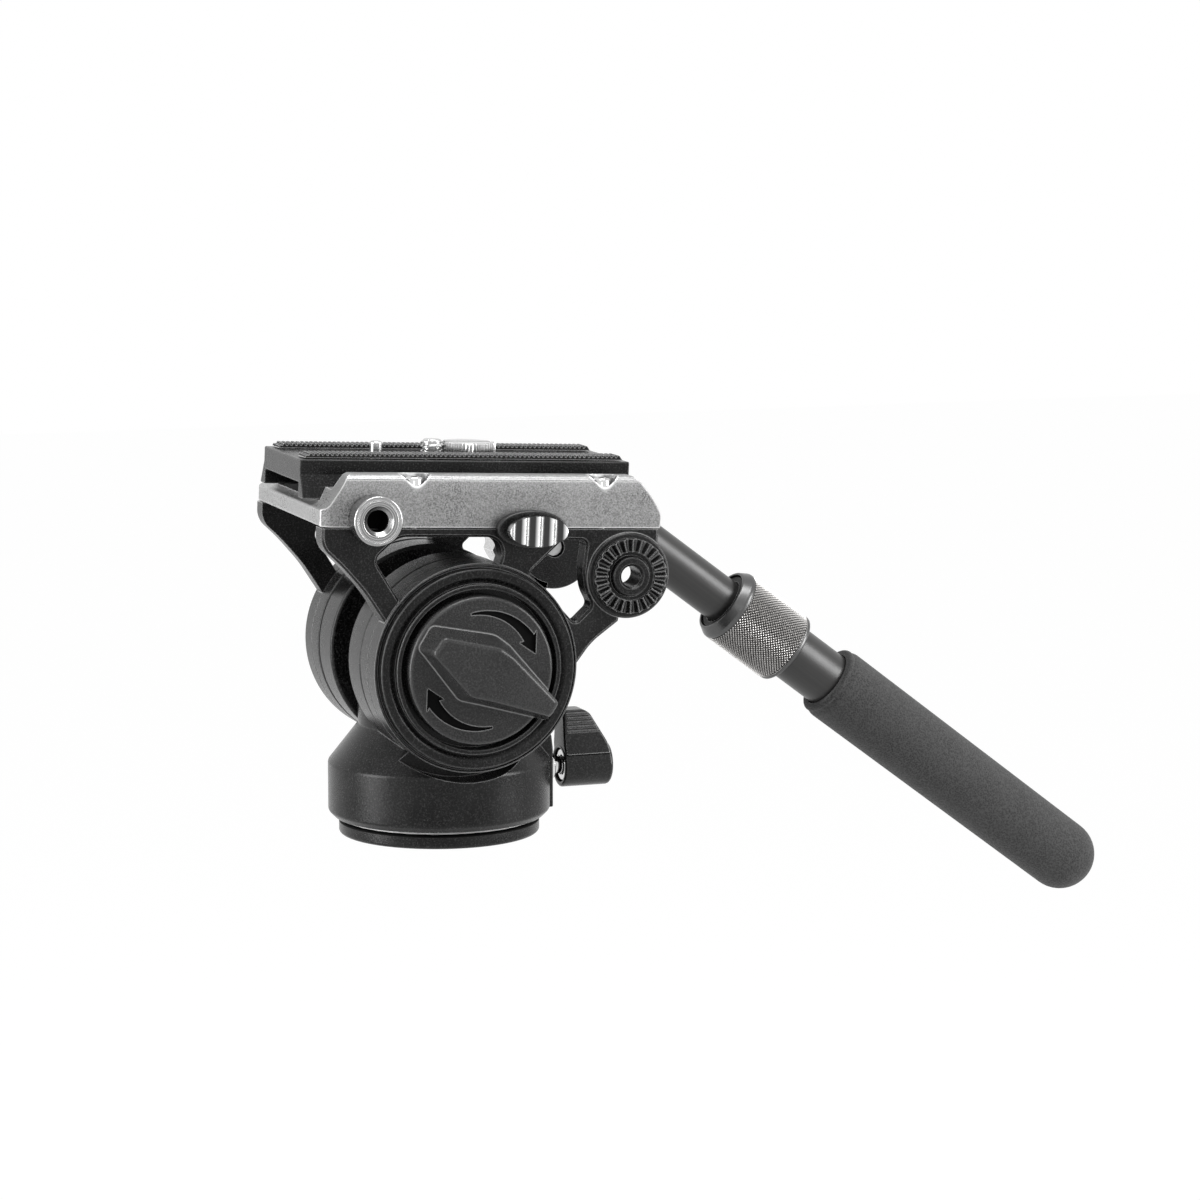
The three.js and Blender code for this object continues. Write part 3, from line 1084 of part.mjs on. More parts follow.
function buildBar() {
  const group = new THREE.Group();
  group.position.set(rosette.x, 0, rosette.z);
  group.rotation.y = THREE.MathUtils.degToRad(bar.drop);
  const onAxis = [0, barY, bar.offset];

  addPiece(group, 'bar_clamp', clampSolid(), finishes.blackCast);
  const boltEnd = clampEnd + seat + clampKnob.neckLength + clampKnob.length / 2;
  addPiece(group, 'clamp_bolt', rod('y', clamp.boltRadius, clamp.boltInner, boltEnd, facets.small),
    finishes.steel);
  addPiece(group, 'clamp_knob', clampKnobSolid(), finishes.silver);
  addPiece(group, 'bar_set_screw', rod('z', setScrew.radius, bar.offset + bar.tubeRadius + seat,
    bar.offset + bar.sleeveRadius - edge / 2, facets.small, [setScrew.station, barY, 0]), finishes.steel);

  addPiece(group, 'inner_tube', ring('x', bar.tubeRadius - bar.tubeWall, bar.tubeRadius, bar.boreStart,
    tubeEnd, facets.medium, onAxis), finishes.gunmetal);
  const plugIn = bar.tubeRadius - bar.tubeWall - seat;
  const flangeStart = tubeEnd + seat;
  const flangeEnd = flangeStart + barPlug.flange;
  addPiece(group, 'tube_plug', turned('x', [[0, tubeEnd - barPlug.length],
    [plugIn, tubeEnd - barPlug.length], [plugIn, flangeStart], [bar.tubeRadius, flangeStart],
    [bar.tubeRadius, flangeEnd], [0, flangeEnd]],
  facets.medium, onAxis), finishes.blackPlastic);

  const colletOuter = bar.tubeRadius + seat + collet.wall;
  const tubeRoom = outerTube.radius + seat;
  addPiece(group, 'lock_collar', turned('x', [[colletOuter + seat, collar.start + collar.mouthDepth],
    [collar.mouthRadius, collar.start + collar.mouthDepth], [collar.mouthRadius, collar.start],
    [collar.radius - collar.bevel, collar.start], [collar.radius, collar.start + collar.bevel],
    [collar.radius, collar.end - collar.bevel], [collar.radius - collar.bevel, collar.end],
    [tubeRoom, collar.end], [tubeRoom, outerStart - seat], [colletOuter + seat, outerStart - seat]],
  facets.medium, onAxis), finishes.titanium);
  addPiece(group, 'collar_seal', ring('x', bar.tubeRadius + seat, collar.mouthRadius - seat,
    collar.start + edge, collar.start + collar.mouthDepth - seat, facets.medium, onAxis),
    finishes.rubber);
  addPiece(group, 'collet', colletSolid(), finishes.slip);
  addPiece(group, 'outer_tube', ring('x', outerTube.boreRadius, outerTube.radius, outerStart,
    outerTube.end, facets.medium, onAxis), finishes.gunmetal);
  addPiece(group, 'foam_grip', gripSolid(), finishes.foam);
  return group;
}

head.add(buildBase(), buildPan(), buildCradle());

export default head;
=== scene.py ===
import math
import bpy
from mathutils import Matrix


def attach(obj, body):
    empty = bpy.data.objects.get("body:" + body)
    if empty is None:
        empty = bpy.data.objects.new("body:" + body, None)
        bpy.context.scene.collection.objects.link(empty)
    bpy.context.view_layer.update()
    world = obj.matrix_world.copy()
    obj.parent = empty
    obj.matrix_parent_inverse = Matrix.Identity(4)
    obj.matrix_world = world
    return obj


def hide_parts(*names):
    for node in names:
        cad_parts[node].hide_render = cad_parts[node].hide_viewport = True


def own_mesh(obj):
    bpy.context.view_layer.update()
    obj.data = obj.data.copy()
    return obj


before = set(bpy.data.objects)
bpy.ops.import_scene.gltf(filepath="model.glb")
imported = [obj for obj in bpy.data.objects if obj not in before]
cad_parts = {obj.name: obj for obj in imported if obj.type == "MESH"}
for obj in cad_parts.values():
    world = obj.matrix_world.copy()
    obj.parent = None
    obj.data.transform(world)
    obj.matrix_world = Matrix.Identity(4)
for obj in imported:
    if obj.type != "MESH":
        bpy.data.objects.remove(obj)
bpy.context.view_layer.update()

from types import SimpleNamespace as Values

import bmesh
import bpy
from mathutils import Matrix, Vector

# Lengths are millimetres until a piece is placed
millimetre = 0.001
tiltAxis = Values(height=49.7, lean=2.52)
barAxis = Values(x=41.8, z=24.6, drop=34.4, y=44.6, offset=18.2)
uprightPlace = Matrix.Scale(millimetre, 4)
tiltPlace = (uprightPlace @ Matrix.Translation((0, 0, tiltAxis.height))
             @ Matrix.Rotation(math.radians(tiltAxis.lean), 4, "Y"))
barPlace = (tiltPlace @ Matrix.Translation((barAxis.x, 0, barAxis.z))
            @ Matrix.Rotation(math.radians(barAxis.drop), 4, "Y"))

# Camera and light
cameraLook = Values(azimuth=-19.56, elevation=8.17, distance=1.1164, target=(0.04658, 0, 0.06111),
                    lens=121.9, sensor=36)
# place, width and height, and radiance of each soft lamp, all aimed at the head
lamps = {
    "left": Values(place=(-0.6, -0.02, 0.16), size=(0.26, 0.5), radiance=10.5),
    "right": Values(place=(0.56, -0.34, 0.2), size=(0.26, 0.45), radiance=10.5),
    "top": Values(place=(0.04, -0.12, 0.68), size=(0.5, 0.2), radiance=11.0),
    "front": Values(place=(-0.2, -0.9, 0.5), size=(0.24, 0.2), radiance=3.0),
}
lampTarget = Vector((0.02, 0, 0.07))
skyStrength = 0.22
floorLook = Values(height=-0.3, size=8, glow=0.92, glowStrength=1.06, albedo=0.9)


def linked(name, data):
    item = bpy.data.objects.new(name, data)
    bpy.context.scene.collection.objects.link(item)
    return item


def meshOf(name, shape):
    mesh = bpy.data.meshes.new(name)
    shape.to_mesh(mesh)
    shape.free()
    return mesh


def aim(item, direction):
    item.rotation_mode = "QUATERNION"
    item.rotation_quaternion = direction.to_track_quat("-Z", "Y")


def makeCamera():
    turn, rise = math.radians(cameraLook.azimuth), math.radians(cameraLook.elevation)
    back = Vector((math.sin(turn) * math.cos(rise), -math.cos(turn) * math.cos(rise), math.sin(rise)))
    data = bpy.data.cameras.new("camera")
    data.lens, data.sensor_width = cameraLook.lens, cameraLook.sensor
    camera = linked("camera", data)
    camera.location = Vector(cameraLook.target) + back * cameraLook.distance
    aim(camera, -back)
    bpy.context.scene.camera = camera


def makeLamps():
    for name, look in lamps.items():
        data = bpy.data.lights.new(name, "AREA")
        data.shape = "RECTANGLE"
        data.size, data.size_y = look.size
        data.energy = look.radiance * math.pi * look.size[0] * look.size[1]
        lamp = linked(name, data)
        lamp.location = look.place
        aim(lamp, lampTarget - lamp.location)


# Node graphs
class Wire:  # a node's output that can be used in sums
    def __init__(self, graph, socket):
        self.graph, self.socket = graph, socket

    def __add__(self, other):
        return self.graph.maths("ADD", self, other)

    def __radd__(self, other):
        return self.graph.maths("ADD", other, self)

    def __sub__(self, other):
        return self.graph.maths("SUBTRACT", self, other)

    def __rsub__(self, other):
        return self.graph.maths("SUBTRACT", other, self)

    def __mul__(self, other):
        return self.graph.maths("MULTIPLY", self, other)

    def __truediv__(self, other):
        return self.graph.maths("DIVIDE", self, other)


def paint(tone, warmth=0.0):
    return (tone * (1 + warmth), tone, tone * (1 - warmth), 1)


class Graph:  # the nodes of one material or of the world
    def __init__(self, owner):
        owner.use_nodes = True
        self.owner, self.tree = owner, owner.node_tree
        self.tree.nodes.clear()

    def node(self, kind, settings=None, inputs=None, output=0):
        made = self.tree.nodes.new("ShaderNode" + kind)
        for key, value in (settings or {}).items():
            setattr(made, key, value)
        for key, value in (inputs or {}).items():
            if isinstance(value, Wire):
                self.tree.links.new(value.socket, made.inputs[key])
            else:
                made.inputs[key].default_value = value
        return Wire(self, made.outputs[output]) if len(made.outputs) else made

    def maths(self, operation, first, second=0.5, clamp=False):
        return self.node("Math", {"operation": operation, "use_clamp": clamp}, {0: first, 1: second})

    def vectorMaths(self, operation, first, second=(0, 0, 0), output=0):
        return self.node("VectorMath", {"operation": operation}, {0: first, 1: second}, output)

    # How far a spot lies from an axis: kept is 0 along the axis and 1 across it
    def distance(self, spot, kept):
        return self.vectorMaths("LENGTH", self.vectorMaths("MULTIPLY", spot, kept), output=1)

    def mixed(self, factor, first, second):
        return self.node("Mix", {"data_type": "RGBA"}, {0: factor, 6: first, 7: second}, output=2)

    def ramp(self, value, *stops):
        made = self.node("ValToRGB", None, {0: value})
        for element, (position, tone) in zip(made.socket.node.color_ramp.elements, stops):
            element.position, element.color = position, (tone, tone, tone, 1)
        return made

    def place(self, centre=(0, 0, 0), turn=0.0, scale=(1, 1, 1)):
        spot = self.node("TexCoord", output="Object")
        return self.node("Mapping", {"vector_type": "TEXTURE"},
                         {"Vector": spot, "Location": centre, "Rotation": (0, turn, 0), "Scale": scale})

    def noise(self, size, vector, detail=2.0, roughness=0.6):
        return self.node("TexNoise", None, {"Vector": vector, "Scale": 1 / (size * millimetre),
                                            "Detail": detail, "Roughness": roughness})

    def ray(self, kind):
        return self.node("LightPath", output=f"Is {kind} Ray")

    # Painted highlight lines on edges and creases, partly standing for the wear that hands leave on corners
    def edges(self, reach):
        rounded = self.node("Bevel", {"samples": 4}, {"Radius": reach * millimetre})
        flat = self.node("NewGeometry", output="Normal")
        return self.maths("MULTIPLY", 1 - self.vectorMaths("DOT_PRODUCT", rounded, flat, 1), paintedHighlightGain, True)

    def shade(self, look, colour, cloud, height):
        # Where a look has an edge tone, a painted highlight is mixed in along its edges and creases
        if look.edge:
            colour = self.mixed(self.edges(look.edgeReach), colour, paint(look.edge, look.warmth))
        bump = self.node("Bump", None, {"Height": height, "Strength": look.bump,
                                        "Distance": look.depth * millimetre})
        rough = look.roughness + (cloud - 0.5) * look.spread
        shader = self.node("BsdfPrincipled", None, {
            "Base Color": colour, "Metallic": look.metallic, "Roughness": rough, "Normal": bump,
            "Specular IOR Level": look.gloss, "Sheen Weight": look.sheen})
        self.node("OutputMaterial", None, {"Surface": shader})
        return self.owner


def makeWorld():
    world = bpy.data.worlds.new("studio")
    bpy.context.scene.world = world
    graph = Graph(world)
    seen = graph.maths("ADD", graph.ray("Camera") + graph.ray("Glossy"), graph.ray("Transmission"), True)
    background = graph.node("Background", None,
                            {"Color": paint(1.0), "Strength": skyStrength + seen * (1 - skyStrength)})
    graph.node("OutputWorld", None, {"Surface": background})


def makeStage():
    graph = Graph(bpy.data.materials.new("studioWhite"))
    share = (graph.ray("Camera") + graph.ray("Glossy")) * floorLook.glow
    diffuse = graph.node("BsdfDiffuse", None, {"Color": paint(floorLook.albedo)})
    glow = graph.node("Emission", None, {"Color": paint(1.0), "Strength": floorLook.glowStrength})
    mixed = graph.node("MixShader", None, {0: share, 1: diffuse, 2: glow})
    graph.node("OutputMaterial", None, {"Surface": mixed})
    ground = bmesh.new()
    bmesh.ops.create_grid(ground, x_segments=1, y_segments=1, size=floorLook.size / 2)
    bmesh.ops.translate(ground, vec=(0, 0, floorLook.height), verts=ground.verts)
    mesh = meshOf("floor", ground)
    mesh.materials.append(graph.owner)
    floor = linked("floor", mesh)


makeCamera()
makeLamps()
makeWorld()
makeStage()
bpy.context.scene.view_settings.view_transform = "Standard"
print("camera, lamps and stage done")

# Finishes
# edge is the tone of a painted highlight along edges and creases, and its reach says how wide it spreads
plainLook = Values(warmth=0.0, metallic=0.0, gloss=0.5, sheen=0.0, spread=0.1, depth=0.02, edge=0,
                   edgeReach=0)


# A look that is plain but for what is given
def plainBut(**given):
    return Values(**{**vars(plainLook), **given})


finishLooks = {
    "blackCast": plainBut(tone=0.002, light=0.04, grain=0.46, speckle=(0.5, 0.7), roughness=0.25,
                          spread=0.14, bump=0.7, depth=0.08, gloss=0.2, edge=0.32, edgeReach=0.4),
    "silverCast": plainBut(tone=0.12, light=0.4, grain=0.36, speckle=(0.36, 0.66), metallic=0.4,
                           roughness=0.3, spread=0.14, bump=0.6, depth=0.08, edge=0.9, edgeReach=0.7),
    "knobSatin": plainBut(tone=0.012, light=0.05, grain=0.4, speckle=(0.42, 0.68), roughness=0.26,
                          bump=0.4, depth=0.07, gloss=0.3, edge=0.36, edgeReach=0.6),
    "blackPlastic": plainBut(tone=0.002, light=0.036, grain=0.5, speckle=(0.48, 0.7), roughness=0.24,
                             spread=0.12, bump=0.6, depth=0.06, gloss=0.3, edge=0.3, edgeReach=0.35),
    "brightSilver": plainBut(tone=0.42, light=0.7, grain=0.5, speckle=(0.35, 0.7), metallic=0.95,
                             roughness=0.22, bump=0.1, edge=0.98, edgeReach=0.3),
    # a near-black painted shade laid into bores, seams and sunk arrows
    "paintedRecessShade": plainBut(tone=0.002, light=0.006, grain=0.4, speckle=(0.4, 0.7), roughness=0.6, bump=0.2,
                          depth=0.04, gloss=0.05),
    "steel": plainBut(tone=0.36, light=0.46, grain=0.8, speckle=(0.35, 0.7), metallic=0.95, roughness=0.3,
                      bump=0.06),
    "chrome": plainBut(tone=0.62, light=0.72, grain=1.5, speckle=(0.4, 0.7), metallic=1.0, roughness=0.1,
                       spread=0.05, bump=0.02),
    "brass": plainBut(tone=0.4, light=0.5, warmth=0.35, grain=0.8, speckle=(0.35, 0.7), metallic=0.95,
                      roughness=0.32, bump=0.05),
    "rubber": plainBut(tone=0.004, light=0.016, grain=0.5, speckle=(0.4, 0.75), roughness=0.5,
                       spread=0.15, bump=0.2, depth=0.04, gloss=0.2, edge=0.5, edgeReach=0.3),
    "slip": plainBut(tone=0.68, light=0.76, grain=1.2, speckle=(0.4, 0.7), roughness=0.42, spread=0.08,
                     bump=0.04),
}
# How sharply the painted highlight on edges rises with the fold
paintedHighlightGain = 7.0
cloudSize = 14.0


def speckledFinish(name, look):
    graph = Graph(bpy.data.materials.new(name))
    spot = graph.place()
    grain = graph.noise(look.grain, spot, detail=3.0, roughness=0.7)
    cloud = graph.noise(cloudSize, spot)
    dark, light = paint(look.tone, look.warmth), paint(look.light, look.warmth)
    low, high = look.speckle
    colour = graph.mixed(graph.ramp(grain, (low, 0.0), (high, 1.0)), dark, light)
    colour = graph.mixed(graph.ramp(cloud, (0.35, 0.0), (0.7, 0.25)), colour, light)
    return graph.shade(look, colour, cloud + grain - 0.5, grain)


# The button's flutes: painted highlights on the crests and painted shade in the hollows
paintedFluteLook = plainBut(valley=0.05, crest=0.95, metallic=0.95, roughness=0.2, grain=0.4, bump=0.08)


def paintedFluteShading(name, centre, lean, pitch):
    graph = Graph(bpy.data.materials.new(name))
    half = pitch * millimetre / 2
    along = graph.node("SeparateXYZ", None, {0: graph.place(centre, lean)})
    share = graph.maths("PINGPONG", along, half) / half
    grain = graph.noise(paintedFluteLook.grain, graph.place())
    colour = graph.mixed(graph.ramp(share, (0.1, 1.0), (0.55, 0.0)), paint(paintedFluteLook.valley),
                         paint(paintedFluteLook.crest))
    return graph.shade(paintedFluteLook, colour, grain, grain)


# Silver with the fine rings that a lathe leaves about the boss's own axis
turnedLook = plainBut(tone=0.2, light=0.4, ringSize=0.3, grain=0.4, metallic=0.95, roughness=0.24,
                      spread=0.15, bump=0.15, edge=0.85, edgeReach=0.35)


def turnedFinish(name, centre, lean):
    graph = Graph(bpy.data.materials.new(name))
    radius = graph.distance(graph.place(centre, lean), (1, 0, 1))
    rings = graph.node("TexNoise", {"noise_dimensions": "1D"},
                       {"W": radius, "Scale": 1 / (turnedLook.ringSize * millimetre), "Detail": 2.0})
    grain = graph.noise(turnedLook.grain, graph.place())
    colour = graph.mixed(graph.ramp(rings, (0.3, 0.0), (0.7, 1.0)), paint(turnedLook.tone),
                         paint(turnedLook.light))
    return graph.shade(turnedLook, colour, grain, rings)


barTurn = math.radians(tiltAxis.lean + barAxis.drop)
# Drawn tube: fine lines along the bar under a satin film
tubeLook = plainBut(tone=0.012, light=0.03, lightWarmth=0.03, lineSize=0.64, stretch=60.0, cloud=6.0,
                    roughness=0.34, bump=0.12, depth=0.015)


def tubeFinish(name):
    graph = Graph(bpy.data.materials.new(name))
    lines = graph.noise(tubeLook.lineSize, graph.place(turn=barTurn, scale=(tubeLook.stretch, 1, 1)), 3.0)
    cloud = graph.noise(tubeLook.cloud, graph.place(), 3.0)
    colour = graph.mixed(lines, paint(tubeLook.tone), paint(tubeLook.light, tubeLook.lightWarmth))
    return graph.shade(tubeLook, colour, cloud, lines)


# Knurled metal: a painted highlight on the points and painted shade in the valleys
paintedKnurlLook = plainBut(valley=0.07, point=0.62, pointWarmth=0.02, low=10.72, high=11.14, plain=0.1,
                     middle=71.2, half=10.25, metallic=0.85, roughness=0.32, grain=0.4, bump=0.15)


def paintedKnurlShading(name, centre):
    graph = Graph(bpy.data.materials.new(name))
    spot = graph.place(centre, barTurn)
    low, high = paintedKnurlLook.low * millimetre, paintedKnurlLook.high * millimetre
    rise = (graph.distance(spot, (0, 1, 1)) - low) / (high - low)
    grain = graph.noise(paintedKnurlLook.grain, graph.place())
    colour = graph.mixed(graph.ramp(rise, (0.0, 0.0), (0.5, 1.0)), paint(paintedKnurlLook.valley),
                         paint(paintedKnurlLook.point, paintedKnurlLook.pointWarmth))
    along = graph.node("SeparateXYZ", None, {0: spot})
    offset = graph.maths("ABSOLUTE", along - paintedKnurlLook.middle * millimetre)
    plain = graph.maths("GREATER_THAN", offset, paintedKnurlLook.half * millimetre)
    return graph.shade(paintedKnurlLook, graph.mixed(plain, colour, paint(paintedKnurlLook.plain)), grain, grain)


# Closed-cell foam: small round pores with a dusty bloom
foamLook = plainBut(tone=0.012, light=0.062, pore=0.55, grain=0.3, cloud=9.0, share=0.6, roughness=0.92,
                    gloss=0.25, sheen=0.15, bump=0.75, depth=0.12)


def foamFinish(name):
    graph = Graph(bpy.data.materials.new(name))
    spot = graph.place()
    pores = graph.node("TexVoronoi", None, {"Vector": spot, "Scale": 1 / (foamLook.pore * millimetre),
                                            "Randomness": 1.0})
    grain = graph.noise(foamLook.grain, spot, 3.0)
    cloud = graph.noise(foamLook.cloud, spot, 3.0)
    height = pores * foamLook.share + grain * foamLook.share
    light = paint(foamLook.light)
    colour = graph.mixed(graph.ramp(height, (0.3, 0.0), (0.75, 1.0)), paint(foamLook.tone), light)
    colour = graph.mixed(graph.ramp(cloud, (0.4, 0.0), (0.7, 0.3)), colour, light)
    return graph.shade(foamLook, colour, grain, height)


finishes = {name: speckledFinish(name, look) for name, look in finishLooks.items()}
finishes["gunmetal"] = tubeFinish("gunmetal")
finishes["foam"] = foamFinish("foam")
print("finishes done")

# Shaping
axisVectors = {"x": Vector((1, 0, 0)), "y": Vector((0, 1, 0)), "z": Vector((0, 0, 1))}
planeVectors = {"x": ("y", "z"), "y": ("x", "z"), "z": ("x", "y")}
weld = 0.001
tiny = 0.01  # points closer than this count as in one place
past = 2  # how far a cutting tool reaches beyond a face
sides = {"near": -1, "far": 1}


def onCircle(radius, turn):
    return (radius * math.cos(turn), radius * math.sin(turn))


def everything(shape):
    return shape.verts[:] + shape.edges[:] + shape.faces[:]


def vertsOf(geom):
    return [item for item in geom if isinstance(item, bmesh.types.BMVert)]


def moved(shape, way):
    bmesh.ops.translate(shape, vec=way, verts=shape.verts)
    return shape


# The third number of a point is how far its corner is rounded
def roundCorners(shape, points, corners, steps):
    groups = {}
    for point, corner in zip(points, corners):
        if len(point) > 2 and point[2]:
            groups.setdefault(point[2], []).append(corner)
    for reach, verts in groups.items():
        bmesh.ops.bevel(shape, geom=verts, offset=reach, offset_type="OFFSET", segments=steps,
                        profile=0.5, affect="VERTICES", clamp_overlap=True, material=-1)


def tidied(shape):
    bmesh.ops.remove_doubles(shape, verts=shape.verts, dist=weld)
    bmesh.ops.recalc_face_normals(shape, faces=shape.faces)
    return shape


# A profile of (radius, station, rounding) turned about an axis
def turned(axis, profile, steps=96, centre=(0, 0, 0), closed=False, cornerSteps=3):
    shape = bmesh.new()
    out = axisVectors["x" if axis == "z" else "z"]
    verts = [shape.verts.new(axisVectors[axis] * point[1] + out * point[0]) for point in profile]
    for pair in zip(verts, verts[1:] + (verts[:1] if closed else [])):
        shape.edges.new(pair)
    roundCorners(shape, profile, verts, cornerSteps)
    bmesh.ops.spin(shape, geom=shape.verts[:] + shape.edges[:], cent=(0, 0, 0), axis=axisVectors[axis],
                   angle=math.tau, steps=steps, use_merge=True)
    return tidied(moved(shape, centre))


# The same profile on the near side (-1) or the far side (1)
def mirrored(profile, side):
    return [(point[0], side * point[1], *point[2:]) for point in profile]


def rod(axis, radius, low, high, steps=48, centre=(0, 0, 0), soft=0):
    return turned(axis, [(0, low), (radius, low, soft), (radius, high, soft), (0, high)], steps, centre)


# An outline of (a, b, rounding) points across an axis, pulled along it
def prism(axis, outline, low, high, cornerSteps=6):
    shape = bmesh.new()
    first, second = (axisVectors[name] for name in planeVectors[axis])
    verts = [shape.verts.new(first * p[0] + second * p[1] + axisVectors[axis] * low) for p in outline]
    shape.faces.new(verts)
    roundCorners(shape, outline, verts, cornerSteps)
    grown = bmesh.ops.extrude_face_region(shape, geom=shape.faces[:])["geom"]
    bmesh.ops.translate(shape, vec=axisVectors[axis] * (high - low), verts=vertsOf(grown))
    return tidied(shape)


def block(x, y, z):
    return prism("z", [(x[0], y[0]), (x[1], y[0]), (x[1], y[1]), (x[0], y[1])], *z)


def joined(*shapes):
    whole = bmesh.new()
    for shape in shapes:
        mesh = meshOf("shape", shape)
        whole.from_mesh(mesh)
        bpy.data.meshes.remove(mesh)
    return whole


def carved(base, tools, operation="DIFFERENCE"):
    items = [linked("carving", meshOf("carving", shape)) for shape in (base, *tools)]
    for tool in items[1:]:
        step = items[0].modifiers.new("carving", "BOOLEAN")
        step.operation, step.solver, step.object = operation, "EXACT", tool
    result = bmesh.new()
    result.from_object(items[0], bpy.context.evaluated_depsgraph_get())
    for item in items:
        mesh = item.data
        bpy.data.objects.remove(item)
        bpy.data.meshes.remove(mesh)
    bmesh.ops.remove_doubles(result, verts=result.verts, dist=weld)
    return result


def fused(*shapes):
    return carved(shapes[0], shapes[1:], "UNION")


# Rounds the picked edges that fold more sharply than an angle in degrees
def softened(shape, width, segments=2, sharper=35, pick=None):
    edges = [edge for edge in shape.edges if len(edge.link_faces) == 2
             and edge.calc_face_angle() > math.radians(sharper) and (pick is None or pick(edge))]
    bmesh.ops.bevel(shape, geom=edges, offset=width, offset_type="OFFSET", segments=segments,
                    profile=0.5, affect="EDGES", clamp_overlap=True, material=-1)
    return shape


def turnedCopies(shape, count, axis):
    source = everything(shape)
    for i in range(1, count):
        copy = bmesh.ops.duplicate(shape, geom=source)["geom"]
        bmesh.ops.rotate(shape, cent=(0, 0, 0), verts=vertsOf(copy),
                         matrix=Matrix.Rotation(math.tau * i / count, 3, axis.upper()))
    return shape


def steppedCopies(shape, count, step):
    source = everything(shape)
    for i in range(1, count):
        copy = bmesh.ops.duplicate(shape, geom=source)["geom"]
        bmesh.ops.translate(shape, vec=Vector(step) * i, verts=vertsOf(copy))
    return shape


placeOfBody = {"base": uprightPlace, "pan": uprightPlace, "pan_lock": uprightPlace, "bar": barPlace,
               "bar_lock": barPlace, "extension": barPlace, "collar": barPlace}


def shapeName(node):
    first, *others = node.split("_")
    return first + "".join(word.title() for word in others) + "Shape"


# A piece is named after the CAD node it replaces, unless it has a name of its own.
# A second finish of painted shade for recesses can be given with the test that picks its faces
def makePiece(node, shape, body, finish, smoothBelow=32, material=None, paintedShade=None, name=None):
    name, nodes = name or shapeName(node), [node] if node else []
    if paintedShade:
        for face in shape.faces:
            face.material_index = int(paintedShade[1](face))
    bmesh.ops.transform(shape, matrix=placeOfBody.get(body, tiltPlace), verts=shape.verts)
    mesh = meshOf(name, shape)
    mesh.polygons.foreach_set("use_smooth", [True] * len(mesh.polygons))
    mesh.set_sharp_from_angle(angle=math.radians(smoothBelow))
    mesh.materials.append(material or finishes[finish])
    if paintedShade:
        mesh.materials.append(finishes[paintedShade[0]])
    piece = linked(name, mesh)
    piece.modifiers.new("flatNormals", "WEIGHTED_NORMAL").keep_sharp = True
    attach(piece, body)
    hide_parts(*nodes)


# Base plate
base = Values(radius=27.3, footIn=0.5, footUp=0.6, rim=3.7, hubRadius=22.4, top=6.0, bore=7.8, edge=0.5,
              screwCircle=15.2, screwCount=3, holeRadius=1.8, headRoom=3.0, headDepth=1.9, seamDepth=0.45,
              seamReach=0.1)


def basePlate():
    b = base
    disc = turned("z", [(b.bore, 0, 0.3), (b.radius - b.footIn, 0, 0.4), (b.radius, b.footUp, 0.3),
                        (b.radius, b.rim, b.edge), (b.hubRadius, b.rim), (b.hubRadius, b.top, 0.3),
                        (b.bore, b.top, 0.3)], 128, closed=True)
    tools = []
    for i in range(b.screwCount):
        spot = (*onCircle(b.screwCircle, math.tau * i / b.screwCount), 0)
        tools.append(rod("z", b.holeRadius, -past, b.top + past, 24, spot))
        tools.append(rod("z", b.headRoom, -past, b.headDepth, 32, spot))
    return carved(disc, tools)


# The step under the housing gets a painted shadow
def inSeam(face):
    middle = face.calc_center_median()
    return (middle.z > base.rim - base.seamDepth
            and math.hypot(middle.x, middle.y) > base.hubRadius - base.seamReach)


makePiece("base_plate", basePlate(), "base", "blackCast", paintedShade=("paintedRecessShade", inSeam))
print("base done")

# Panning housing
pan = Values(radius=30.2, bottom=4.8, chamfer=1.6, shoulder=19.7, coneTop=29.5, coneRadius=22.5,
             neckRadius=21.9, neckRise=0.7, neckTop=38, cavity=23.2, cavityTop=14.5, upperCavity=18.6,
             upperTop=19.3, bore=11.3, boreTop=31, throat=8.6)
drum = Values(radius=27.9, inner=8.4, outer=20.2, edge=0.9, webRadius=21.6, webHalf=9, chamber=22.6,
              chamberFloor=13.3, springRoom=15, hubRoom=31.3, hubGap=0.3, roomEdge=0.6, roomEnd=34)
pad = Values(reach=30.7, half=6.6, bottom=5.6, shoulder=21.8, top=26, soft=0.7, softFrom=28,
             screwHeight=15.9, boreRadius=2.7)


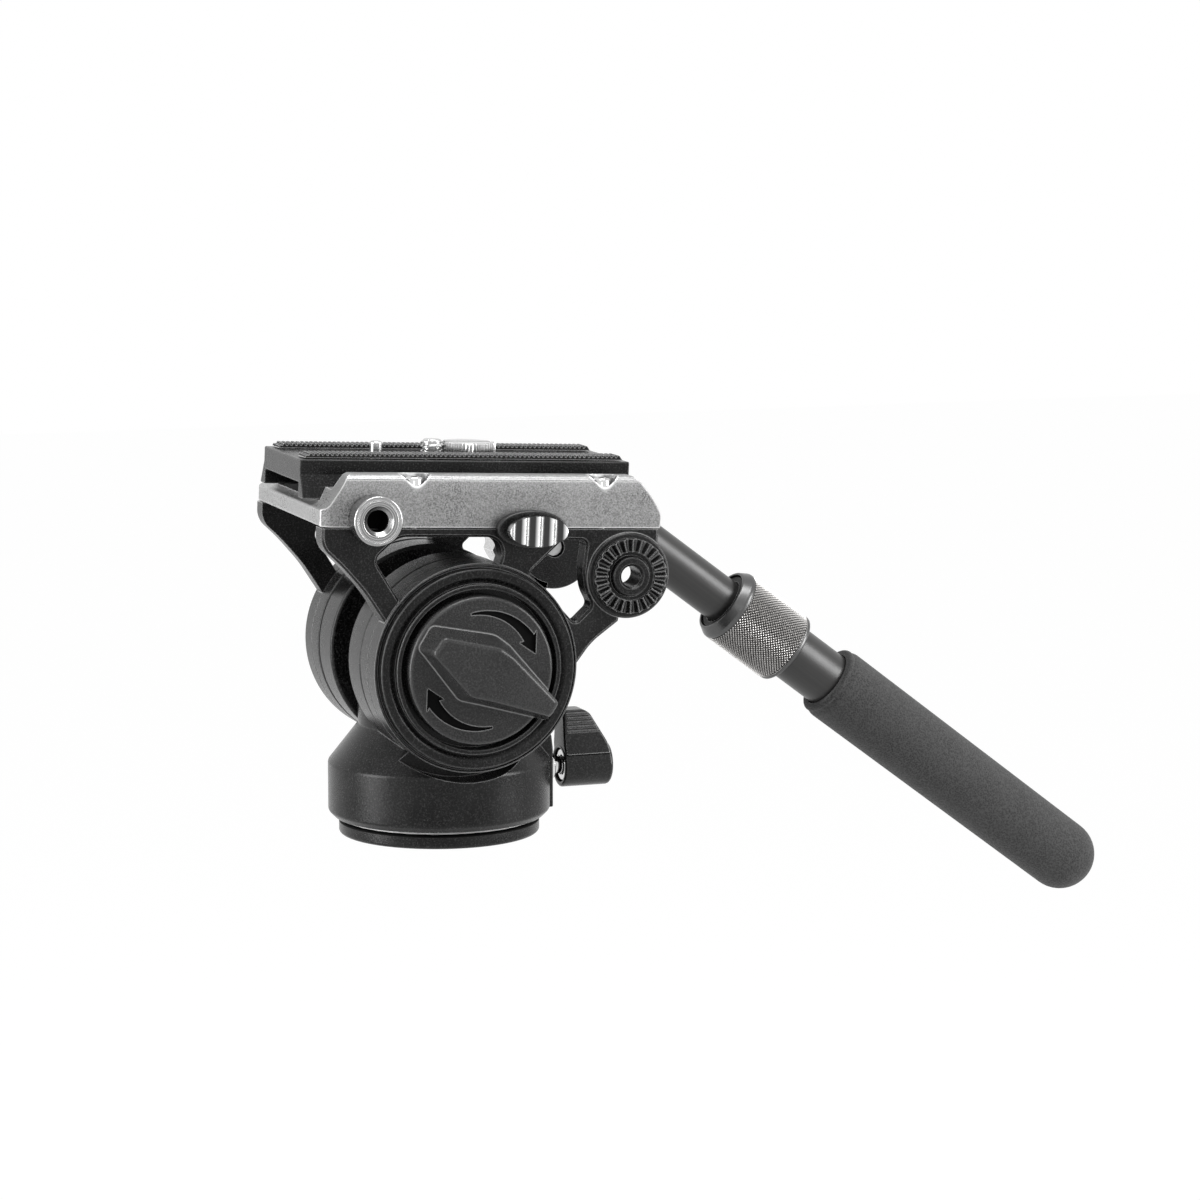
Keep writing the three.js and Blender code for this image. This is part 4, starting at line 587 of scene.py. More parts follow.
def panHousing():
    p, d = pan, drum
    axis = (0, 0, tiltAxis.height)
    shell = turned("z", [
        (p.cavity, p.bottom, 0.3), (p.radius - p.chamfer, p.bottom), (p.radius, p.bottom + p.chamfer, 0.5),
        (p.radius, p.shoulder, 0.5), (p.coneRadius, p.coneTop, 0.8),
        (p.neckRadius, p.coneTop + p.neckRise, 0.4), (p.neckRadius, p.neckTop), (p.throat, p.neckTop),
        (p.throat, p.boreTop), (p.bore, p.boreTop), (p.bore, p.upperTop), (p.upperCavity, p.upperTop),
        (p.upperCavity, p.cavityTop), (p.cavity, p.cavityTop)], 128, closed=True)
    parts = [shell, rod("y", d.webRadius, -d.webHalf, d.webHalf, 96, axis)]
    for side in (-1, 1):
        parts.append(rod("y", d.radius, side * d.inner, side * d.outer, 128, axis, d.edge))
    front = prism("y", [(p.cavity + 0.3, pad.bottom), (pad.reach, pad.bottom),
                        (pad.reach, pad.shoulder, 0.6), (p.radius, pad.top, 0.8),
                        (p.coneRadius, pad.shoulder)], -pad.half, pad.half)
    parts.append(softened(front, pad.soft, 3, 60,
                          lambda edge: min(v.co.x for v in edge.verts) > pad.softFrom))
    tools = [rod("y", d.springRoom, -d.radius, d.radius, 64, axis),
             rod("z", p.throat, p.boreTop - 1, p.neckTop + 1, 64),
             rod("x", pad.boreRadius, p.cavity - past, pad.reach + past, 32, (0, 0, pad.screwHeight))]
    for side in (-1, 1):
        tools.append(rod("y", d.hubRoom, side * (d.outer + d.hubGap), side * d.roomEnd, 128, axis))
        tools.append(rod("y", d.chamber, side * d.chamberFloor, side * d.roomEnd, 96, axis))
    whole = carved(fused(*parts), tools)

    def onRoomRim(vert):
        reach = math.hypot(vert.co.x, vert.co.z - tiltAxis.height)
        return abs(reach - d.hubRoom) < 2 * tiny and abs(vert.co.y) > d.outer + 1

    return softened(whole, d.roomEdge, 1, 25, lambda edge: all(map(onRoomRim, edge.verts)))


makePiece("pan_housing", panHousing(), "pan", "blackCast")
print("pan housing done")

# Pan lock knob: hub and a wing with cross ribs
panLock = Values(height=15.9, start=34.6, end=48.6, bore=2.7, hubRadius=6.1, hollowRadius=4.7,
                 hollowDepth=1.6, domeRadius=3.2, domeDepth=0.5, washerStart=0.5, washerEnd=1.4,
                 wingTop=31.5, wingLow=16.9, wingShoulder=20.4, topEnd=41.8, wingHalf=3.4, flare=0.178,
                 wingSoft=0.7, ribCount=5, ribPitch=1.2, firstRib=0.9, ribHalf=0.28, ribDepth=0.6,
                 ribSlant=0.62, ribSoft=0.2, screwRadius=2.4, screwStart=15.8, screwEnd=41.6,
                 collarRadius=3.7, collarStart=31.0, collarLength=1.6)


def panLockKnob():
    k = panLock
    place = (0, 0, k.height)
    floor, dome, boreEnd = k.start + k.hollowDepth, k.end - k.domeDepth, k.screwEnd + 0.3
    hub = turned("x", [(k.bore, floor), (k.hollowRadius, floor, 0.2), (k.hollowRadius, k.start, 0.2),
                       (k.hubRadius, k.start, 0.6), (k.hubRadius, k.end, 1.1), (k.domeRadius, k.end, 0.4),
                       (k.domeRadius - 0.3, dome), (0, dome), (0, boreEnd), (k.bore, boreEnd)], 64, place)
    wing = prism("y", [(k.start + 0.4, k.wingLow), (k.end - 0.6, k.wingLow),
                       (k.end - 0.2, k.wingShoulder, 3.2), (k.topEnd, k.wingTop, 2.0),
                       (k.start, k.wingTop, 1.2), (k.start, k.wingShoulder + 1.5)],
                 -k.wingHalf, k.wingHalf, 8)
    softened(wing, k.wingSoft, 3, 60, lambda edge: max(v.co.z for v in edge.verts) > k.wingLow + 0.1)
    wing = carved(wing, [rod("x", k.hubRadius - 1.2, k.start - 1, k.end + 1, 48, place)])
    for vert in wing.verts:
        vert.co.y *= 1 + (k.wingTop - vert.co.z) * k.flare / k.wingHalf
    ribs = []
    for i in range(k.ribCount):
        height = k.wingTop - k.ribPitch * (i + k.firstRib)
        half = k.wingHalf + (k.wingTop - height) * k.flare + k.ribDepth
        rib = block((k.start + 0.9, k.topEnd + i * k.ribPitch * k.ribSlant), (-half, half),
                    (height - k.ribHalf, height + k.ribHalf))
        ribs.append(softened(rib, k.ribSoft, 2, 60))
    return joined(hub, wing, *ribs)


def panLockWasher():
    k = panLock
    low, high, rim = k.start + k.washerStart, k.start + k.washerEnd, k.hollowRadius - 0.2
    return turned("x", [(k.bore, low + 0.3), (k.bore + 0.3, low, 0.1), (rim - 0.3, low, 0.2),
                        (rim, low + 0.4), (rim, high), (k.bore, high)], 64, (0, 0, k.height), closed=True)


def panLockScrew():
    k = panLock
    place = (0, 0, k.height)
    shank = rod("x", k.screwRadius, k.screwStart, k.screwEnd, 48, place, 0.3)
    end = k.collarStart + k.collarLength
    collar = rod("x", k.collarRadius, k.collarStart, end, 64, place, 0.35)
    return joined(shank, collar)


makePiece("pan_lock_knob", panLockKnob(), "pan_lock", "blackPlastic")
makePiece(None, panLockWasher(), "pan_lock", "chrome", name="panLockWasherShape")
print("pan lock done")

# Side brackets
bracket = Values(
    inner=27.2, outer=33, chamfer=1.4, top=36.9, hubCut=26, cutStart=20, cutEnd=40,
    outline=[(-43.2, 38.5), (-43.2, 32, 2.4), (-37.4, 26.9, 2.4), (-31.1, 20.2, 2.4), (-25, 11.6),
             (0, 0), (28, 0.4), (32.4, 6.6, 2.4), (39.6, 12.2), (41.8, 24.6), (50, 24.6),
             (50, 38.5)],
    frontWindow=[(-22.3, 34.7, 2.2), (-28.8, 28.7, 2.2), (-21.4, 17.8), (4.4, 24), (6.8, 31, 2.2),
                 (4.3, 34.7, 2.2)],
    rearWindow=[(14, 25.2, 1.4), (23.2, 34.1, 1.4), (29.8, 33.9, 1.4), (29, 25.4, 1.4),
                (29.9, 20.6, 1.4), (32.2, 16.4, 1.4), (27.4, 11.6, 1.4)],
    soft=0.18,
)
hub = Values(radius=28, inner=20.7, wallInner=28, wallOuter=31.4, cavity=22.5, stemBore=7.8,
             shoulder=33.8, faceRadius=26.6, face=35.7, rimOuter=22.7, rimInner=21.4, rim=36.6,
             groove=27.2, grooveHalf=0.3, grooveDepth=0.3, lip=27.6, lipDepth=0.9, faceInner=24.5,
             sink=0.8)
rosette = Values(x=41.8, z=24.6, radius=10, bossRadius=11.6, root=34.7, crest=36, teeth=24,
                 toothInner=6.6, hubRadius=5.2, bore=2.75, crestHalf=0.14)


def ridge(root, crest):
    shape = bmesh.new()
    top = rosette.crestHalf
    for radius in (rosette.toothInner, rosette.radius):
        half = radius * math.tan(math.pi / rosette.teeth)
        loop = [(radius, -half, root), (radius, half, root), (radius, top, crest), (radius, -top, crest)]
        shape.faces.new([shape.verts.new(point) for point in loop])
    bmesh.ops.bridge_loops(shape, edges=shape.edges[:])
    return tidied(shape)


# A ring of ridges about a line along y, with its crests toward y = crest
def toothRing(root, crest, centre):
    tooth = ridge(root, crest)
    bmesh.ops.transform(tooth, matrix=Matrix.Rotation(math.radians(90), 4, "X"), verts=tooth.verts)
    bmesh.ops.scale(tooth, vec=(1, -1, 1), verts=tooth.verts)
    return tidied(moved(turnedCopies(tooth, rosette.teeth, "y"), centre))


def bracketShape(side):
    b, h, r = bracket, hub, rosette
    web = prism("y", b.outline, side * b.inner, side * b.outer, 6)
    web = carved(web, [prism("y", window, side * (b.inner - past), side * (b.outer + past), 6)
                       for window in (b.frontWindow, b.rearWindow)])

    def onOuterFace(edge):
        return all(abs(abs(v.co.y) - b.outer) < tiny for v in edge.verts)

    softened(web, b.chamfer, 1, 40, onOuterFace)
    softened(web, b.soft, 2, 25, lambda edge: any(abs(v.co.y) > b.inner + 0.5 for v in edge.verts)
             and edge.calc_length() > 0.5)
    bmesh.ops.bisect_plane(web, geom=everything(web), plane_co=(0, 0, b.top), plane_no=(0, 0, 1),
                           clear_outer=True)
    bmesh.ops.holes_fill(web, edges=[e for e in web.edges if e.is_boundary])
    tidied(web)
    web = carved(web, [rod("y", b.hubCut, side * b.cutStart, side * b.cutEnd, 96)])
    sunkLip, sunkFace = h.shoulder - h.lipDepth, h.face - h.sink
    ringProfile = [
        (h.stemBore, h.wallInner), (h.cavity, h.wallInner), (h.cavity, h.inner), (h.radius, h.inner, 0.5),
        (h.radius, h.groove - h.grooveHalf), (h.radius - h.grooveDepth, h.groove),
        (h.radius, h.groove + h.grooveHalf), (h.radius, h.shoulder, 0.15), (h.lip, h.shoulder, 0.1),
        (h.lip - 0.2, sunkLip), (h.faceRadius + 0.2, sunkLip), (h.faceRadius, h.face, 0.35),
        (h.faceInner, h.face, 0.3), (h.rimOuter + 0.5, sunkFace, 0.2), (h.rimOuter, sunkFace),
        (h.rimOuter, h.rim, 0.3), (h.rimInner, h.rim, 0.3), (h.rimInner, h.wallOuter),
        (h.stemBore, h.wallOuter)]
    ring = turned("y", mirrored(ringProfile, side), 160, closed=True)
    bossProfile = [
        (r.bore, b.inner), (r.bossRadius, b.inner), (r.bossRadius, b.outer - 0.1, 0.2),
        (r.bossRadius - 0.5, b.outer + 0.6, 0.2), (r.radius + 0.2, b.outer + 0.6, 0.1),
        (r.radius, b.outer + 0.3), (r.radius, r.root, 0.1), (r.toothInner, r.root),
        (r.hubRadius + 0.35, r.root - 0.3), (r.hubRadius, r.crest - 0.3),
        (r.hubRadius - 0.3, r.crest, 0.15), (r.bore + 0.7, r.crest, 0.1),
        (r.bore, r.crest - 0.8)]
    centre = (r.x, 0, r.z)
    boss = turned("y", mirrored(bossProfile, side), 96, centre, closed=True)
    web = carved(web, [rod("y", r.bossRadius - 1.5, side * b.cutStart, side * b.cutEnd, 64, centre)])
    teeth = toothRing(side * (r.root - 0.2), side * r.crest, centre)
    return joined(web, ring, boss, teeth)


for name, side in sides.items():
    makePiece(name + "_bracket", bracketShape(side), "cradle", "blackCast")
print("brackets done")

# Platform housing
platform = Values(bottom=37.2, front=-43.4, rear=50.5, half=32.6, floor=43, railTop=51, ridge=26.4,
                  railInner=25.6, lipTop=46.4, lipFoot=21.77, lipNose=19.84, roundWide=2.8, roundHigh=5.2,
                  roundSteps=9, lineLow=49.5, lineHigh=49.8, lineDepth=0.14, lineRoom=2.6,
                  cornerLong=2.3, cornerWide=1.7,
                  side=[(-43.4, 37.2, 0.6), (50.5, 37.2, 0.6), (50.5, 41.0, 1.0), (48.5, 44.4, 1.6),
                        (43.4, 51, 1.4), (-35.9, 51, 1.2), (-41.5, 42.2, 1.0), (-43.4, 41.6, 0.6)])
# the rooms that the button's latch and the plate lock's screw need
latchRoom = Values(stemEnd=-22.9, slotX=(10.2, 16.8), slotY=(-27.4, -5.1), slotTop=40.0, riseX=(11.8, 15.2),
                   riseY=(-10.7, -5.1), riseLow=37.1)
lockSpot = Values(x=-6, z=44.85, bore=2.5, inner=24)
housingScrew = Values(xs={"front": -17.7, "rear": 34.5}, y=29.35, pocketLong=4.3, pocketWide=2.95,
                      seat=46.8, headRadius=2.8, headLow=47.0, headRise=0.8, headTop=50.3, domeRadius=2.2,
                      radius=1.5, tip=35.1, socket=1.2, socketDepth=1.5)
accessory = Values(x=-29.5, z=39.4, radius=6.6, back=33.3, face=38.4, stem=4.8, stemInner=28.6, bore=2.9,
                   mouth=3.9, mouthDepth=1.0, boreEnd=30.6, ringGap=0.25)
button = Values(x=13.5, z=37.1, halfLong=8.1, halfHigh=4, back=38.5, face=41.6, soft=0.5, bezelLong=9.7,
                bezelHigh=5, bezelBack=33.3, bezelFace=36, stemLong=6.4, stemHigh=2.6, stemInner=25.4,
                pitch=3.83, flutes=4, fluteRadius=2.5, fluteDepth=0.95, gap=0.3)


def oval(halfLong, halfHigh, low, high, steps=72):
    points = [(button.x + halfLong * math.cos(math.tau * i / steps),
               button.z + halfHigh * math.sin(math.tau * i / steps)) for i in range(steps)]
    return prism("y", points, low, high)


def stemRoom(low, high):
    return oval(button.stemLong + button.gap, button.stemHigh + button.gap, low, high)


# The corner at a rail's top, from its outer face to its flat
def railCorner():
    p = platform
    points = []
    for i in range(p.roundSteps + 1):
        turn = math.pi / 2 * i / p.roundSteps
        points.append((p.half - p.roundWide + p.roundWide * math.cos(turn),
                       p.railTop - p.roundHigh + p.roundHigh * math.sin(turn)))
    return points


def platformBody(corner):
    p = platform
    side = prism("y", p.side, -p.half, p.half, 8)
    far = [(p.ridge, p.railTop), (p.railInner, p.lipTop), (p.railInner, p.floor)]
    near = [(-p.lipFoot, p.floor), (-p.lipNose, p.lipTop), (-p.railInner, p.lipTop), (-p.ridge, p.railTop)]
    section = prism("x", [(-p.half, p.bottom), (p.half, p.bottom), *corner, *far, *near,
                          *[(-y, z) for y, z in reversed(corner)]], p.front, p.rear)
    bevel, edge = p.front + p.cornerLong, p.half - p.cornerWide
    plan = prism("z", [(p.front, -edge, 0.5), (bevel, -p.half, 1.0), (p.rear, -p.half), (p.rear, p.half),
                       (bevel, p.half, 1.0), (p.front, edge, 0.5)], p.bottom, p.railTop)
    return carved(side, [section, plan], "INTERSECT")


# The double line that runs just below a rail's top
def railLine(corner, sign):
    p = platform
    inner, outer = sign * (p.half - p.lineRoom), sign * (p.half + 1)
    groove = prism("x", [(inner, p.lineLow), (outer, p.lineLow), (outer, p.lineHigh), (inner, p.lineHigh)],
                   p.front - 1, p.rear + 1)
    inset = prism("x", [(sign * y - sign * p.lineDepth, z - 0.05) for y, z in corner]
                  + [(sign * p.railInner, p.railTop - 0.05), (sign * p.railInner, p.bottom),
                     (sign * (p.half - p.lineDepth), p.bottom)], p.front - past, p.rear + past)
    return carved(groove, [inset])


def platformHousing():
    p, s, a, r, k = platform, housingScrew, accessory, latchRoom, lockSpot
    corner = railCorner()
    tools = []
    for sign in (-1, 1):
        for x in s.xs.values():
            pocket = rod("z", s.pocketWide, s.seat, p.railTop + past, 64)
            bmesh.ops.scale(pocket, vec=(s.pocketLong / s.pocketWide, 1, 1), verts=pocket.verts)
            spot = (x, sign * s.y, 0)
            tools.append(moved(pocket, spot))
            tools.append(rod("z", s.radius + 0.3, p.bottom - past, s.seat + past, 24, spot))
        tools.append(railLine(corner, sign))
    tools.append(rod("y", a.stem + 0.3, -a.stemInner + 0.3, -p.half - past, 48, (a.x, 0, a.z)))
    tools.append(stemRoom(r.stemEnd, -p.half - past))
    tools.append(block(r.slotX, r.slotY, (p.bottom - past, r.slotTop)))
    tools.append(block(r.riseX, r.riseY, (r.riseLow, p.floor + past)))
    tools.append(rod("y", k.bore, k.inner, p.half + past, 32, (k.x, 0, k.z)))
    return carved(platformBody(corner), tools)


def housingScrewShape():
    s = housingScrew
    shape = turned("z", [(0, s.tip), (s.radius, s.tip, 0.3), (s.radius, s.headLow),
                         (s.headRadius, s.headLow, 0.2), (s.headRadius, s.headLow + s.headRise, 0.8),
                         (s.domeRadius, s.headTop, 0.6), (0, s.headTop)], 64)
    floor, mouth = s.headTop - s.socketDepth, s.headTop + 1
    socket = turned("z", [(0, floor), (s.socket, floor), (s.socket, mouth), (0, mouth)], 6)
    return softened(carved(shape, [socket]), 0.1, 2, 50)


makePiece("platform_housing", platformHousing(), "cradle", "silverCast", 28, name="platformShape")
for sideName, sign in sides.items():
    for endName, x in housingScrew.xs.items():
        screw = moved(housingScrewShape(), (x, sign * housingScrew.y, 0))
        makePiece(f"{sideName}_{endName}_housing_screw", screw, "cradle", "chrome",
                  name=f"{sideName}{endName.title()}ScrewShape")
print("platform done")


# Threaded boss for accessories
def accessoryBoss():
    a = accessory
    sunk = a.face - a.ringGap
    profile = [(0, a.stemInner), (a.stem, a.stemInner, 0.2), (a.stem, a.back), (a.radius, a.back, 0.25),
               (a.radius, a.face - 0.1, 0.45), (a.radius - 0.9, a.face, 0.15), (a.radius - 1.0, sunk),
               (a.radius - 1.2, sunk), (a.radius - 1.3, a.face, 0.1), (a.mouth + 0.15, a.face, 0.15),
               (a.mouth, sunk), (a.bore, a.face - a.mouthDepth, 0.1), (a.bore, a.face - 2.2),
               (a.bore, a.boreEnd), (0, a.boreEnd)]
    return turned("y", mirrored(profile, -1), 96, (a.x, 0, a.z))


# The bore's faces take the near-black painted shade
def inBore(face):
    a, middle = accessory, face.calc_center_median()
    return (math.hypot(middle.x - a.x, middle.z - a.z) < a.bore + 0.05
            and -a.face + 2 < middle.y < -a.stemInner - 1)


accessoryCentre = tiltPlace @ Vector((accessory.x, -accessory.face, accessory.z))
turnedSilver = turnedFinish("turnedSilver", tuple(accessoryCentre), math.radians(tiltAxis.lean))
makePiece("accessory_boss", accessoryBoss(), "cradle", "turnedSilver",
          material=turnedSilver, paintedShade=("paintedRecessShade", inBore))


# Release button in its oval bezel
def releaseButton():
    k = button
    cap = softened(oval(k.halfLong, k.halfHigh, -k.back, -k.face), k.soft, 3, 60)
    tools = []
    for i in range(k.flutes):
        spot = (k.x + (i - (k.flutes - 1) / 2) * k.pitch, -k.face - k.fluteRadius + k.fluteDepth, 0)
        tools.append(rod("z", k.fluteRadius, k.z - k.halfHigh - past, k.z + k.halfHigh + past, 64, spot))
    stem = oval(k.stemLong, k.stemHigh, -k.stemInner, -k.back - 0.5)
    return joined(carved(cap, tools), stem)


def buttonBezel():
    k = button
    ring = oval(k.bezelLong, k.bezelHigh, -k.bezelBack, -k.bezelFace)
    return softened(carved(ring, [stemRoom(-k.bezelBack + 1, -k.bezelFace - 1)]), k.soft, 3, 60)


buttonCentre = tiltPlace @ Vector((button.x, -button.face, button.z))
# The button's cap gets painted highlights on its crests and painted shade in its flutes
flutedSilverPaintedShading = paintedFluteShading("flutedSilverPaintedShading", tuple(buttonCentre), math.radians(tiltAxis.lean), button.pitch)
makePiece("release_button", releaseButton(), "release", "brightSilver", 24, material=flutedSilverPaintedShading)
makePiece("button_bezel", buttonBezel(), "cradle", "blackPlastic")

# Tilt lock knob: satin disc, two sunk arrows and a tall wedge to grip
knob = Values(radius=19.75, back=31.7, face=38.5, soft=0.9, stem=7.5, stemInner=27.4, bore=4.3,
              boreEnd=36.3, bladeTop=47.4, along=0.9, across=0.74, edge=1.1, slices=9, crown=2.8,
              crownReach=22,
              foot=[(-17.9, 6.2), (-6.2, -7.8), (-0.5, -9), (19, -13.5), (21.8, -8.6), (7.5, 6.8),
                    (3.4, 9.7), (-14.4, 12.3)],
              axis=((-17.9, 6.2), (21.8, -8.6)))
arrow = Values(radius=15.4, tail=0.5, width=3.2, head=5.6, headStart=2, headTurn=17, sweep=69, depth=0.7,
               starts=(103, -77), steps=24, inner=12, outer=18.4)
hubCap = Values(back=35.0, face=37.2, radius=21.1, grooveOuter=17.4, grooveInner=16.3, grooveDepth=0.3,
                slope=0.3, dishRadius=6.2, dishInner=5.6, dish=36.7)


def arrowTools():
    a = arrow
    tools = []
    for start in a.starts:
        outerSide, innerSide = [], []
        for i in range(a.steps + 1):
            share = i / a.steps
            half = (a.tail + (a.width - a.tail) * share) / 2
            turn = math.radians(start - a.sweep * share)
            outerSide.append(onCircle(a.radius + half, turn))
            innerSide.append(onCircle(a.radius - half, turn))
        barb = math.radians(start - a.sweep + a.headStart)
        tip = math.radians(start - a.sweep - a.headTurn)
        head = [onCircle(a.radius + a.head / 2, barb), onCircle(a.radius, tip),
                onCircle(a.radius - a.head / 2, barb)]
        outline = outerSide + head + innerSide[::-1]
        tools.append(prism("y", outline, -knob.face - past, -knob.face + a.depth))
    return tools


def wedge():
    k = knob
    run = Vector(k.axis[1]) - Vector(k.axis[0])
    run.normalize()
    cross = Vector((-run.y, run.x))
    blade = prism("y", k.foot, -k.face + 0.6, -k.bladeTop)
    for vert in blade.verts:
        if abs(vert.co.y + k.bladeTop) < tiny:
            spot = Vector((vert.co.x, vert.co.z))
            spot = run * (spot.dot(run) * k.along) + cross * (spot.dot(cross) * k.across)
            vert.co.x, vert.co.z = spot
    softened(blade, k.edge, 4, 12, lambda edge: max(v.co.y for v in edge.verts) < -k.face + 0.5
             or min(v.co.y for v in edge.verts) < -k.face - 1)
    across = run.to_3d().xzy
    for i in range(k.slices):
        bmesh.ops.bisect_plane(blade, geom=everything(blade), plane_no=across,
                               plane_co=across * (i * k.crownReach / k.slices))
    for vert in blade.verts:
        share = (-vert.co.y - k.face) / (k.bladeTop - k.face)
        station = max(vert.co.dot(across), 0) / k.crownReach
        vert.co.y += k.crown * max(share, 0) * station ** 2
    return tidied(blade)


def tiltLockKnob():
    k = knob
    disc = turned("y", mirrored([(k.bore, k.stemInner), (k.stem, k.stemInner, 0.3), (k.stem, k.back),
                                 (k.radius, k.back, 0.4), (k.radius, k.face, k.soft), (0, k.face),
                                 (0, k.boreEnd), (k.bore, k.boreEnd)], -1), 128, cornerSteps=4)
    return joined(carved(disc, arrowTools()), wedge())


# The sunk arrows take the near-black painted shade
def inArrow(face):
    middle = face.calc_center_median()
    return (-knob.face < middle.y - tiny < -knob.face + arrow.depth and face.normal.y < 0.5
            and arrow.inner < math.hypot(middle.x, middle.z) < arrow.outer)


def farHubCap():
    c = hubCap
    groove = c.face - c.grooveDepth
    return turned("y", [(0, c.back), (c.radius, c.back, 0.2), (c.radius, c.face, 0.5),
                        (c.grooveOuter, c.face, 0.2), (c.grooveOuter - c.slope, groove),
                        (c.grooveInner + c.slope, groove), (c.grooveInner, c.face, 0.2),
                        (c.dishRadius, c.face, 0.3), (c.dishInner, c.dish, 0.3), (0, c.dish)], 128)


makePiece("tilt_lock_knob", tiltLockKnob(), "tilt_lock", "knobSatin", 28, paintedShade=("paintedRecessShade", inArrow))
makePiece("far_hub_cap", farHubCap(), "cradle", "blackPlastic")
print("knobs done")

# Sliding camera plate with its strips, screws and pin
plate = Values(front=-45.6, rear=46.4, bottomHalf=21.3, topHalf=17.9, low=43.3, slant=49.3, top=53.4,
               slab=47.3, recessHalf=17, edge=0.4, stepDepth=0.25, clearance=0.3, footLow=43.6,
               footTop=47.6, cupInner=3.1, cupOuter=4.4, stopRadius=1.5, stopReach=23.2, stopY=-9)
strip = Values(front=-43.8, rear=44.8, inner=9.7, outer=16.6, low=53.7, valley=54.35, top=54.9, pitch=1.3,
               margin=1.2, first=0.9, steps=(0.45, 0.62, 0.85), soft=0.12)
cameraScrew = Values(x=-3.9, headRadius=6.9, headLow=44.8, headTop=47.0, top=57.5, core=2.62, crest=3.17,
                     pitch=1.27, slot=1.2, slotDepth=0.9)
spareScrew = Values(x=6.5, radius=7.3, low=53.7, top=56.9, knurls=44, knurlDepth=0.45, soft=0.35, slot=1.3,
                    slotDepth=0.9, shankLow=47.3)
screwThread = Values(foot=0.3, flatLow=0.42, flatHigh=0.58, tip=0.7, stepsPerTurn=36, slotReach=9)
videoPin = Values(x=-19.6, radius=1.75, top=56.8, flange=2.8, flangeLow=50.3, flangeTop=51.3,
                  springFoot=44.8, springKeep=0.5)


def cameraPlate():
    p = plate
    step, stepLow, stepHigh = p.topHalf + p.stepDepth, p.slant - 0.15, p.slant + 0.25
    outline = [(-p.bottomHalf, p.low), (-p.recessHalf, p.low), (-p.recessHalf, p.slab),
               (p.recessHalf, p.slab), (p.recessHalf, p.low), (p.bottomHalf, p.low), (step, stepLow),
               (p.topHalf, stepHigh), (p.topHalf, p.top), (-p.topHalf, p.top), (-p.topHalf, stepHigh),
               (-step, stepLow)]
    body = softened(prism("x", outline, p.front, p.rear), p.edge, 3, 50)
    holes = ((cameraScrew.x, cameraScrew.crest), (spareScrew.x, cameraScrew.crest),
             (videoPin.x, videoPin.radius))
    tools = [rod("z", radius + p.clearance, p.low, p.top + past, 32, (x, 0, 0)) for x, radius in holes]
    cup = turned("z", [(p.cupInner, p.footLow), (p.cupOuter, p.footLow), (p.cupOuter, p.footTop),
                       (p.cupInner, p.footTop)], 48, (videoPin.x, 0, 0), closed=True)
    stops = [rod("z", p.stopRadius, p.footLow, p.footTop, 24, (button.x + reach, p.stopY, 0), 0.2)
             for reach in (-p.stopReach, p.stopReach)]
    return joined(carved(body, tools), cup, *stops)


def rubberStrip(side):
    s = strip
    top = []
    for i in range(int((s.rear - s.front - s.margin) / s.pitch)):
        x = s.rear - s.first - i * s.pitch
        down, low, up = (x - s.pitch * step for step in s.steps)
        top += [(x, s.top), (down, s.top), (low, s.valley), (up, s.valley)]
    outline = [(s.front, s.low), (s.rear, s.low), (s.rear - 0.5, s.valley), *top, (s.front + 0.3, s.valley)]
    shape = prism("y", outline, side * s.inner, side * s.outer)
    return softened(shape, s.soft, 1, 60, lambda edge: abs(edge.verts[0].co.y - edge.verts[1].co.y) < tiny
                    and min(v.co.z for v in edge.verts) > s.low + 0.1)


# A closed ridge that climbs round a core
def threadedShank(low, high):
    core, crest, pitch = cameraScrew.core, cameraScrew.crest, cameraScrew.pitch
    t = screwThread
    shape = bmesh.new()
    corners = [(core - t.foot, 0, low), (crest, 0, low + pitch * t.flatLow),
               (crest, 0, low + pitch * t.flatHigh), (core - t.foot, 0, low + pitch)]
    shape.faces.new([shape.verts.new(corner) for corner in corners])
    steps = int((high - low - pitch) / pitch * t.stepsPerTurn)
    bmesh.ops.spin(shape, geom=shape.faces[:], cent=(0, 0, 0), axis=(0, 0, 1),
                   dvec=(0, 0, pitch / t.stepsPerTurn), angle=math.tau * steps / t.stepsPerTurn,
                   steps=steps)
    tidied(shape)
    return joined(shape, turned("z", [(0, low), (core, low), (core, high, t.tip), (0, high)], 48))


def slotted(head, width, low, high):
    reach = screwThread.slotReach
    return carved(head, [block((-reach, reach), (-width / 2, width / 2), (low, high))])


def cameraScrewShape():
    c = cameraScrew
    head = turned("z", [(0, c.headLow), (c.headRadius, c.headLow, 0.4), (c.headRadius, c.headTop, 0.3),
                        (0, c.headTop)], 96)
    head = slotted(head, c.slot, c.headLow - 1, c.headLow + c.slotDepth)
    return moved(joined(head, threadedShank(c.headTop - 0.5, c.top)), (c.x, 0, 0))


def spareScrewShape():
    s = spareScrew
    points = []
    for i in range(s.knurls * 2):
        radius = s.radius - (s.knurlDepth if i % 2 else 0)
        points.append(onCircle(radius, math.tau * i / (s.knurls * 2)))
    head = prism("z", points, s.low, s.top)
    softened(head, s.soft, 2, 60, lambda edge: abs(edge.verts[0].co.z - edge.verts[1].co.z) < tiny)
    head = slotted(head, s.slot, s.top - s.slotDepth, s.top + 1)
    return moved(joined(head, threadedShank(s.shankLow, s.low + 0.5)), (s.x, 0, 0))


def videoPinShape():
    v = videoPin
    return turned("z", [(0, v.flangeLow), (v.flange, v.flangeLow, 0.2), (v.flange, v.flangeTop, 0.2),
                        (v.radius, v.flangeTop), (v.radius, v.top, 0.7), (0, v.top)], 64, (v.x, 0, 0))


